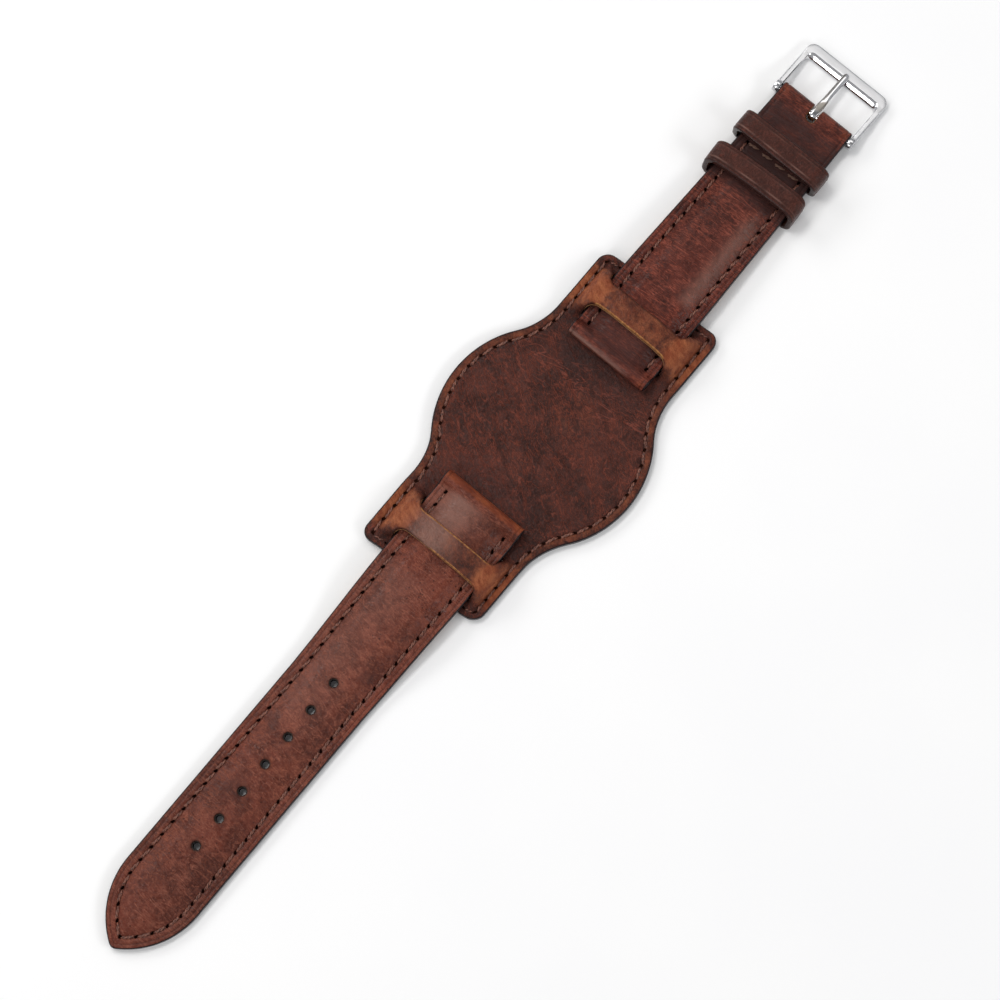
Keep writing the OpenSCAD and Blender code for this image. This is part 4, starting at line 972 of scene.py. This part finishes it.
def build_strap(tail):
    half, body = ("tail", "tail_half") if tail else ("buckle_half", "buckle_half")
    sign = -1 if tail else 1
    hole_rings = buckle_hole_rings if tail else tang_slot_rings
    lug = LUG_X[tail]
    s0 = lug - math.pi * LUG_R - TURN_UNDER_L
    s1 = TAIL_TIP_AT if tail else BAR_X + math.pi * FOLD_R + (BAR_X - TURN_BACK_X)
    outline = strap_outline(s0, s1, tail)

    def plan(loop, insets, places, spacing, outsets=None):
        """places are the holes' outsets, and outsets those that the plan gives its points."""
        holes = hole_rings(places) if places else []
        return Plan([strap_ring(loop, i, tail) for i in insets], insets, holes, outsets or places, spacing)

    def reach(at, least):
        s, y = at.xy.T
        return s, y, np.where(at.inset < FAR, at.inset, np.maximum(least, half_width(s, tail) - np.abs(y)))

    # The stitch row on each side runs along a ring, from behind the lug to the tip or the cross stitches
    ring = strap_ring(outline, STITCH_INSET, tail)
    first, last = lug + LUG_R + 0.4, s1 if tail else CROSS_STITCH_X
    on_side = outline[:, 1] >= 0
    path = ring[on_side][np.argsort(outline[on_side][:, 0], kind="stable")]
    path = path[(path[:, 0] >= first) & (path[:, 0] <= last)]
    path = path[path[:, 1] > 0.3] if tail else path
    path = np.concatenate([path, [[ring[:, 0].max(), 0.0]] if tail else [[CROSS_STITCH_X, path[-1][1]]]])
    row_at, count = row_numbers(path)

    def values(at):
        s, y = at.xy.T
        e, h = at.inset, at.outset
        ring_x, ring_y = ring[np.clip(at.index, 0, None)].T
        row_s = np.interp(ring_x, path[:, 0], row_at)
        if tail:
            near_tip = ring_x > TAIL_TIP_AT - TIP_L - 2
            spots = np.stack([ring_x, np.abs(ring_y)], 1)[near_tip]
            row_s[near_tip] = [row_at[np.argmin(((path - spot) ** 2).sum(1))] for spot in spots]
        off = (e == FAR) | (ring_x < first - 0.5) | (ring_x > last + 0.5)
        tan, painted_sheen, stain_and_shade, line = (tail_values if tail else buckle_half_values)(s, y, h, lug)
        line = line + 0.45 * bell(e - 0.97, 0.13) + 0.22 * bell(e - 1.35, 0.10) + 0.5 * bell(h, 0.22)
        return dict(tan=tan + 0.14 * bell(e - 1.1, 0.8), painted_sheen=painted_sheen, stain_and_shade=stain_and_shade,
                    raw=(0.0 if tail else 0.6) * fall(h, 0.25, 0.2),
                    edge=np.maximum(fall(e, 0.45, 0.35), 0.55 * bell(h, 0.18) if tail else 0), line=line,
                    row_s=row_s, row_e=np.where(off, OFF_ROW, e - STITCH_INSET))

    outsets = [0, 0.04, 0.12, 0.24, 0.4, 0.65]
    upper = plan(outline, STRAP_INSETS, outsets, 0.62)
    lower = plan(outline, [0, 0.5, 1.2, 2.0, 3.2, 4.6], [0, 0.4], 1.1)
    least = STRAP_INSETS[-1] if tail else 0
    s, y, e = reach(upper, least)
    marks = values(upper)
    x, z, nx, nz = strap_skin(s, e, tail, True)
    near = np.abs(marks["row_s"] - np.round(marks["row_s"])) * PITCH
    drop = edge_drop(upper.inset, EDGE_R) + 0.10 * bell(e - 0.97, 0.12) + edge_drop(upper.outset, 0.2)
    pull = 0.16 * bell(e - STITCH_INSET, 0.34) + 0.26 * bell(e - STITCH_INSET, 0.28) * bell(near, 0.4)
    drop += (marks["row_e"] < OFF_ROW) * pull
    # The crown swells a little over the padding and towards the lug, and sways
    on_top = (s > lug) & (tail | (s < BAR_X - 1))
    sway = 0.09 * wavy(0.6 * s, y, 0, 7.0, 2.9 + sign) + 0.025 * wavy(s, 0.4 * y, 0, 2.2, 6.1)
    dome = 1 - np.clip(np.abs(y) / np.maximum(half_width(s, tail) - 2.4, 0.5), 0, 1) ** 2
    clear = rise(s, 40, 6) * (1 if tail else fall(s, 65, 3))
    clear = np.maximum(clear, 1.5 * fall(s, 22.6, 2.4) * on_top)
    drop -= on_top * (dome * 0.28 * clear + sway * (0.35 + 0.65 * clear)) * rise(e, 2.6, 3.2)
    top = np.stack([sign * (x - nx * drop), y, z - nz * drop], 1)
    low_s, low_y, low_e = reach(lower, least)
    low_x, low_z, _, _ = strap_skin(low_s, low_e, tail, False)
    bottom = np.stack([sign * low_x, low_y, low_z], 1)
    material = TAIL_LEATHER if tail else BUCKLE_LEATHER
    sheet((half + "_upper", body, material, half + "_top_leather", "upper_leather"), (upper, top, marks),
          (lower, bottom, dict(values(lower), row_e=np.full(len(low_s), OFF_ROW))), tail)

    def flat(at, z):
        return np.column_stack([sign * at.xy[:, 0], at.xy[:, 1], z])

    # The lining under the strap, which closes in a little round the holes
    s0 = lug + TURN_UNDER_L
    loop = strap_outline(s0, TAIL_TIP_AT if tail else TURN_BACK_X - 0.05, tail)
    places = [-HOLE_CLOSING, 0.3] if tail else []
    up = plan(loop, [0, 0.6, 2.0], places, 1.3, [0, 0.3])
    places = [-HOLE_CLOSING, 0.08 - HOLE_CLOSING, 0.3] if tail else []
    down = plan(loop, STRAP_UNDER_INSETS, places, 1.1, [0, 0.08, 0.3])
    hollow = edge_drop(down.inset, 0.25) * (np.abs(down.xy[:, 0] - s0) > 0.6) + edge_drop(down.outset, 0.1)
    hollow += 0.3 * bell(down.inset - STITCH_INSET, 0.2)
    sheet((half + "_under", body, LINING, half + "_lining", "lining_leather"),
          (up, flat(up, seat(up.xy[:, 0], tail) + LINING_T - LAYER_GAP), painted_edges(up, True)),
          (down, flat(down, seat(down.xy[:, 0], tail) + hollow), painted_edges(down, True)), tail)

    # The filler in its crown
    loop = strap_outline(lug + 2.4, TAIL_TIP_AT if tail else PADDING_END_X - 1.2, tail)
    places = [-CORE_HOLE_CLOSING, 0.3] if tail else []
    core = plan(loop, [2.55, 3.2, 3.9, 4.6, 5.3], places, 1.2, [0, 0.3])
    s, y, e = reach(core, STRAP_INSETS[-1])
    base = seat(s, tail) + LINING_T
    swell = np.maximum(0.02, lift(s, e, tail) - FLANGE_T - 0.02)
    piece = sheet((half + "_core", body, FILLER, half + "_padding", "filler"),
                  (core, flat(core, base + swell), painted_edges(core, True)),
                  (core, flat(core, base + LAYER_GAP), painted_edges(core, True)), tail)

    points, faces = [], []

    def sew(line, numbers, n, way, extra=0.0):
        """Sews along line on the side way of the strap; numbers says which stitch each of its points is."""
        def at(u):
            return np.array([np.interp(u, numbers, line[:, c]) for c in (0, 1)])

        def over(u, side):
            step = at(min(u + 0.02, n)) - at(u)
            along = unit(step) if np.linalg.norm(step) > 1e-9 else np.array([1.0, 0])
            x, y = at(u) + side * np.array([-along[1], along[0]])
            d = np.array([x])
            height = (seat(d, tail) + lift(d, np.array([STITCH_INSET]), tail))[0]
            return np.array([sign * x, way * y, height - STITCH_SUNK])

        for k in range(n):
            covered = UNDER_BRIDGE_FROM < at(k + 0.5)[0] < UNDER_BRIDGE_TO
            proud = extra + (0.0 if covered else STITCH_PROUD)
            stitch(points, faces, over, k, proud, lambda p: seat(abs(p[0]), tail) + UNDER_THREAD_Z)

    sew(path, row_at, count, 1)
    sew(path, row_at, count, -1)
    painted_light = {}
    if not tail:
        y_end, plain = path[-1][1], len(points)
        n = round(2 * y_end / PITCH)
        line = np.array([[CROSS_STITCH_X, -y_end], [CROSS_STITCH_X, y_end]])
        sew(line, np.array([0, n]), n, 1, CROSS_STITCH_PROUD)
        # The cross stitches get painted light, which lifts them out of the shade between the keepers
        painted_light = {"painted_light": np.arange(len(points)) >= plain}
    facts = (half + "_thread", body, THREAD, half + "_stitching", "thread")
    add_piece(facts, points, faces, painted_light, merge=False)


# The keepers
def build_keeper(name, node, body, x, inner_half_w, lean, skew, raised, bow):
    """A closed loop of leather. lean says how far its top stands forward, skew how it is turned in degrees,
    and bow how far the middle of its top bends forward."""
    t, w, outer_r, inner_r = KEEPER_T, KEEPER_W / 2, 0.36, 0.25
    half = inner_half_w + t / 2
    low, high = KEEPER_LOW_R + t / 2, KEEPER_HIGH_R + t / 2
    z0, z1 = raised + t / 2, raised + KEEPER_H - t / 2
    path, ways = rounded([(half - low, z0 + low, -90, low), (half - high, z1 - high, 0, high),
                          (high - half, z1 - high, 90, high), (low - half, z0 + low, 180, low)], 0.5, 10)
    # The strip's cross section, from the middle of its outside round to the middle again
    flat = [*np.linspace(1.3 - w, w - 1.3, 9), w - 1.0, w - 0.82, w - 0.7, w - 0.58, w - 0.45]
    right = np.concatenate([np.column_stack([flat, np.full(len(flat), t / 2)]),
                            arc(w - outer_r, t / 2 - outer_r, outer_r, 90, 0, 6),
                            arc(w - inner_r, inner_r - t / 2, inner_r, 0, -90, 5)])
    left = right[np.abs(right[:, 0]) > w - 1.15][::-1] * [-1, 1]
    inner = np.column_stack([np.linspace(w - 0.8, 0.8 - w, 8), np.full(8, -t / 2)])
    u, v = np.concatenate([right, inner, left]).T
    n, m = len(path), len(u)
    from_edge = w - np.abs(u)
    off = v - 0.10 * bell(from_edge - 0.7, 0.11) * (v > 0)
    y, z = (path[:, k, None] + ways[:, k, None] * off for k in (0, 1))
    across = path[:, :1]
    along = u + lean * z / KEEPER_H + bow * (1 - (across / half) ** 2) * rise(z, 3, 4)
    rough = wavy(along.ravel(), y.ravel(), z.ravel(), 4.0, 3.3).reshape(n, m)
    z = z - 0.05 * np.abs(rough) * (z > raised + KEEPER_H - 1.5)
    c, s = math.cos(math.radians(skew)), math.sin(math.radians(skew))
    points = np.stack([x + along * c - y * s, along * s + y * c, z], 2).reshape(-1, 3)
    # Painted highlight along the ridge beside each groove, stronger on the side towards -X
    ridge = (0.30 * (u < 0) + 0.16) * bell(from_edge - 0.98, 0.10) * (v > 0)
    values = dict(tan=0.18 * bell(from_edge - 0.45, 0.3) + 0.18 * rise(np.abs(across), half - 1.6, 1.4),
                  painted_sheen=ridge * (0.65 + 0.5 * np.sin(across * 0.9)),
                  raw=np.where(v < -t / 2 + 0.05, 0.3, 0),
                  edge=np.maximum(fall(from_edge, 0.42, 0.3), 0.6 * (v < -0.3) * (np.abs(u) > w - 0.4)),
                  line=0.5 * bell(from_edge - 0.7, 0.13) * (v > 0), row_s=0.5, row_e=OFF_ROW)
    values = {key: np.broadcast_to(value, (n, m)).ravel() for key, value in values.items()}
    facts = (name, body, KEEPER_LEATHER, node, "upper_leather")
    add_piece(facts, points, skin(0, n, m, wrap=True), values)


# The buckle
def lathe(points, faces, profile, centre, flip, sides=40):
    """A solid turned about a line along Y through centre. profile lists (y, radius) from radius 0 to 0."""
    base, (cos, sin) = len(points), circle(sides).T
    for y, r in profile:
        points.extend(np.column_stack([centre[0] + r * cos, np.full(sides, y), centre[1] + r * sin]))
    turned = skin(base, len(profile), sides)
    faces += [face[::-1] for face in turned] if flip else turned


def build_frame():
    """The buckle's frame: two arms and a plate, drawn as sections between their inner and outer edges."""
    inner_r, outer_r, half_in, half_out = 1.1, 1.9, FRAME_HALF_W, FRAME_HALF_W + ARM_W
    arm_n, corner_n, plate_n = 26, 12, 28
    edge_r, bar_half_t = 0.34, 0.85
    x = np.linspace(BAR_X, PLATE_X - inner_r, arm_n, endpoint=False)
    far_x = mix(x, np.linspace(BAR_X, FRAME_END_X - outer_r, arm_n, endpoint=False), rise(x, BAR_X + 5, 4))

    def whole(x, half, end_x, r):
        """One edge all along: an arm, a corner, the plate and the other side's mirror image."""
        side = np.concatenate([np.column_stack([x, np.full(arm_n, half)]),
                               arc(end_x - r, half - r, r, 90, 0, corner_n)])
        across = np.linspace(half - r, r - half, plate_n + 2)[1:-1]
        plate = np.column_stack([np.full(plate_n, end_x), across])
        return np.concatenate([side, plate, side[::-1] * [1, -1]])

    inner, outer = whole(x, half_in, PLATE_X, inner_r), whole(far_x, half_out, FRAME_END_X, outer_r)
    corner = smooth(np.linspace(0.05, 1, corner_n))
    plateness = np.concatenate([np.zeros(arm_n), corner, np.ones(plate_n), corner[::-1], np.zeros(arm_n)])
    points, shine = [], []
    for p, q, share in zip(inner, outer, plateness):
        width = np.linalg.norm(q - p)
        bevel_w, bevel_h = mix(0.24, 1.35, share), mix(0.20, 0.95, share)
        flat_end, sag, bulge = width - edge_r, -0.05 * share, 0.14 * share
        # A mark is its distance from the inner edge, whether it hangs from the top, its height and its shine
        marks = [(0.10, 0, 0, 1), (0, 0, 0.12, 1), (0, 1, -bevel_h - 0.08, 1), (0.03, 1, -bevel_h, 1)]
        marks += [(mix(0.03, bevel_w, f), 1, -bevel_h * (1 - f) + bulge * math.sin(math.pi * f), 1)
                  for f in (0.15, 0.3, 0.45, 0.6, 0.75, 0.9)]
        marks += [(bevel_w, 1, 0, 0.6), (bevel_w + 0.1, 1, 0.0, 0)]
        marks += [(mix(bevel_w + 0.1, flat_end, f), 1, sag * f * f, 0) for f in (0.25, 0.5, 0.75, 1.0)]
        marks += [(flat_end + edge_r * math.sin(a), 1, sag - edge_r * (1 - math.cos(a)), 0.4)
                  for a in (0.4, 0.8, 1.2, 1.57)]
        marks += [(width, 0, 0.15, 0.4), (width - 0.12, 0, 0, 0.4)]
        for off, from_top, dz, bright in marks:
            x, y = p + (q - p) / width * off
            run = np.clip((x - BAR_X) / (PLATE_X - 0.5 - BAR_X), 0, 1)
            low = mix(BAR_Z - bar_half_t, 0.22, run) * fall(x, PLATE_X - 0.2, 1.4)
            high = mix(BAR_Z + bar_half_t, PLATE_T, run) - 0.32 * rise(x, PLATE_X + 0.8, 2.8)
            points.append((x, y, (high if from_top else low) + dz))
            shine.append(bright)
    faces = solid(0, len(inner), len(marks), True)
    boss = [(9.96, 0.0), (9.96, 0.42), (9.06, 0.42), (9.0, 0.5), (9.0, 1.22), (9.05, 1.32), (9.14, 1.35),
            (10.06, 1.35), (10.15, 1.32), (10.2, 1.22), (10.2, 0.7), (10.17, 0.62), (10.17, 0.0)]
    for side in (1, -1):
        lathe(points, faces, [(side * y, r) for y, r in boss], (BAR_X, BAR_Z), side > 0)
    shine += [0.7] * (len(points) - len(shine))
    facts = ("buckle_frame_steel", "buckle", BRUSHED, "buckle_frame", "brushed_steel")
    piece = add_piece(facts, points, faces, {"shine": shine})
    piece.data.set_sharp_from_angle(angle=math.radians(32))


# The tang's stations past its eye: x, z, half width, half height, and the power of its squarish section
TANG = [(87.7, 3.31, 0.78, 0.31, 3.6), (88.3, 3.24, 0.82, 0.34, 4.0), (88.9, 3.16, 0.82, 0.38, 4.5),
        (89.5, 3.06, 0.79, 0.42, 4.5), (90.1, 2.96, 0.74, 0.46, 4.0), (90.7, 2.86, 0.69, 0.49, 3.2),
        (91.2, 2.79, 0.72, 0.52, 2.6), (91.6, 2.74, 0.71, 0.54, 2.3), (92.6, 2.64, 0.71, 0.56, 2.2),
        (93.6, 2.54, 0.71, 0.57, 2.2), (94.6, 2.44, 0.71, 0.58, 2.2), (95.4, 2.36, 0.71, 0.57, 2.2),
        (96.0, 2.30, 0.71, 0.54, 2.3), (96.6, 2.24, 0.71, 0.50, 2.4), (97.0, 2.20, 0.66, 0.46, 2.4),
        (97.35, 2.16, 0.61, 0.41, 2.3), (97.6, 2.13, 0.48, 0.34, 2.2), (97.75, 2.11, 0.35, 0.25, 2.1),
        (97.83, 2.10, 0.2, 0.14, 2.0), (97.85, 2.10, 0.07, 0.05, 2.0)]


def build_tang():
    """The tang, one strip wrapped round the spring bar, flat at its root, then round up to its tip."""
    eye = [(x, z, 0.74, 0.30, 3.6) for x, z in arc(BAR_X, BAR_Z, 1.1, -40, -270, 30)]
    path = np.array(eye + TANG)
    sides, points, painted_shade = 28, [], []
    for (x, z, w, h, power), (dx, dz) in zip(path, unit(np.gradient(path[:, :2], axis=0))):
        for c, s in circle(sides):
            u = w * math.copysign(abs(c) ** (2 / power), c)
            v = h * math.copysign(abs(s) ** (2 / power), s)
            points.append((x - dz * v, u, z + dx * v))
            # Painted shade on the tilted flat of the root and on the +Y side of the rod's upper face
            root = rise(x, 87.3, 0.4) * fall(x + 0.9 * u, 89.95, 0.35)
            painted_shade.append((v > -0.1) * max(root, 0.8 * rise(x, 89.4, 0.5) * rise(u, 0.12, 0.12)))
    facts = ("tang_steel", "buckle_tang", POLISHED, "tang", "polished_steel")
    piece = add_piece(facts, points, solid(0, len(path), sides, True), {"painted_shade": painted_shade})
    piece.data.set_sharp_from_angle(angle=math.radians(40))


def build_spring():
    """The coil between the spring bar's tips, in two halves."""
    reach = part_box("spring_bar_spring")[1][1] / MM
    coils, steps, sides, coil_r, wire_r = 11, 16, 8, 0.43, 0.07
    rings = coils * steps + 1
    halves = (1, "spring_coil_left", "tip_left_press"), (-1, "spring_coil_right", "tip_right_press")
    for side, name, joint in halves:
        points = []
        for i in range(rings):
            a, y = 2 * math.pi * i / steps, (reach - wire_r) * i / (rings - 1)
            for c, s in circle(sides):
                r = coil_r + wire_r * c
                points.append((BAR_X + r * math.cos(a), side * (y + wire_r * s), BAR_Z + r * math.sin(a)))
        faces = solid(0, rings, sides)
        faces = faces if side > 0 else [face[::-1] for face in faces]
        facts = (name, "buckle_half", POLISHED, "spring_bar_spring", "polished_steel")
        piece = add_piece(facts, points, faces, merge=False)
        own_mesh(piece)


build_pad()
build_strap(True)
build_strap(False)
build_keeper("fixed_keeper_loop", "fixed_keeper", "buckle_half", FIXED_X, FIXED_HALF_W,
             lean=0.0, skew=0.0, raised=FIXED_LIFT, bow=0.0)
build_keeper("loose_keeper_loop", "floating_keeper", "loose_keeper", LOOSE_X + LOOSE_SHIFT, LOOSE_HALF_W,
             lean=LOOSE_LEAN - LOOSE_SHIFT, skew=LOOSE_SKEW, raised=0.0, bow=LOOSE_BOW)
build_frame()
build_tang()
build_spring()
for node in ("spring_bar_tube", "spring_bar_tip_left", "spring_bar_tip_right"):
    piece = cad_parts[node]
    piece.data.materials.clear()
    piece.data.materials.append(POLISHED)


# Camera, floor and light
def build_camera():
    target, distance, lens_ratio = Vector((-15.2, -1.534, 0)), 700.0, 3.479
    tilt, azimuth, roll = (math.radians(v) for v in (9.057, -139.976, 0.196))
    back = Vector((math.sin(tilt) * math.cos(azimuth), math.sin(tilt) * math.sin(azimuth), math.cos(tilt)))
    down = Vector((math.cos(azimuth), math.sin(azimuth), 0))
    down = (down - back * down.dot(back)).normalized()
    right = back.cross(down)
    c, s = math.cos(roll), math.sin(roll)
    right, down = c * right + s * down, c * down - s * right
    data = bpy.data.cameras.new("camera")
    data.sensor_width = 36
    data.lens = lens_ratio * data.sensor_width
    data.clip_start, data.clip_end = 0.05, 10
    camera = bpy.data.objects.new("camera", data)
    m = Matrix((right, -down, back)).transposed().to_4x4()
    m.translation = (target + distance * back) * MM
    camera.matrix_world = m
    bpy.context.scene.collection.objects.link(camera)
    bpy.context.scene.camera = camera


def build_stage():
    n = Nodes("floor_paper")
    n.shader.inputs["Specular IOR Level"].default_value = 0.2
    cloud = n.span(n.noise(n.place(), 0.02, 2.0, 0.5), 0.3, 0.7)
    material = n.finish(n.blend(cloud, (0.935, 0.935, 0.94, 1), (0.95, 0.95, 0.95, 1)), 0.9)
    size, z = 6.0, -0.02 * MM
    mesh = bpy.data.meshes.new("floor")
    corners = [(-size, -size, z), (size, -size, z), (size, size, z), (-size, size, z)]
    mesh.from_pydata(corners, [], [(0, 1, 2, 3)])
    mesh.materials.append(material)
    floor = bpy.data.objects.new("floor", mesh)
    bpy.context.scene.collection.objects.link(floor)


def area_light(name, place, aim, size, power, tone):
    data = bpy.data.lights.new(name, "AREA")
    data.shape, data.size, data.size_y = "RECTANGLE", size[0], size[1]
    data.energy, data.color = power, tone
    light = bpy.data.objects.new(name, data)
    light.location = place
    light.rotation_euler = (Vector(aim) - Vector(place)).to_track_quat("-Z", "Y").to_euler()
    bpy.context.scene.collection.objects.link(light)


def build_light():
    n = Nodes("studio", bpy.data.worlds, "Background")
    bpy.context.scene.world = n.owner
    way = n.new("ShaderNodeTexCoord").outputs["Generated"]
    parts = n.new("ShaderNodeSeparateXYZ")
    n.put(parts.inputs[0], way)
    sky = n.span(parts.outputs["Z"], 0.06, 0.42, 0.05, 0.47)
    # A small dark patch where a flat face mirrors the camera
    dot = n.new("ShaderNodeVectorMath", operation="DOT_PRODUCT")
    dot.inputs[1].default_value = (0.1205, 0.1012, 0.9876)
    n.put(dot.inputs[0], way)
    patch = n.span(dot.outputs["Value"], 0.86, 0.985, 1.0, 0.42)
    n.put(n.shader.inputs["Color"], (0.97, 0.98, 1.0, 1))
    n.put(n.shader.inputs["Strength"], n.times(sky, patch))
    area_light("upper_left", (0.03, 0.35, 0.70), (0, 0, 0), (0.50, 0.17), 2.25, (1.0, 0.99, 0.97))
    area_light("upper_left_low", (-0.02, 0.62, 0.40), (0, 0, 0), (0.60, 0.20), 1.4, (1.0, 0.99, 0.98))
    area_light("lower_right", (0.10, -0.60, 0.42), (0.03, 0, 0), (0.46, 0.16), 1.2, (0.98, 0.99, 1.0))
    area_light("tail_end", (-0.66, 0.10, 0.44), (0, 0, 0), (0.05, 0.46), 0.95, (1.0, 0.98, 0.96))
    area_light("key", (0.50, 0.12, 0.72), (0, 0, 0), (0.30, 0.30), 0.5, (1.0, 0.98, 0.95))


build_camera()
build_stage()
build_light()
bpy.context.scene.view_settings.view_transform = "Standard"
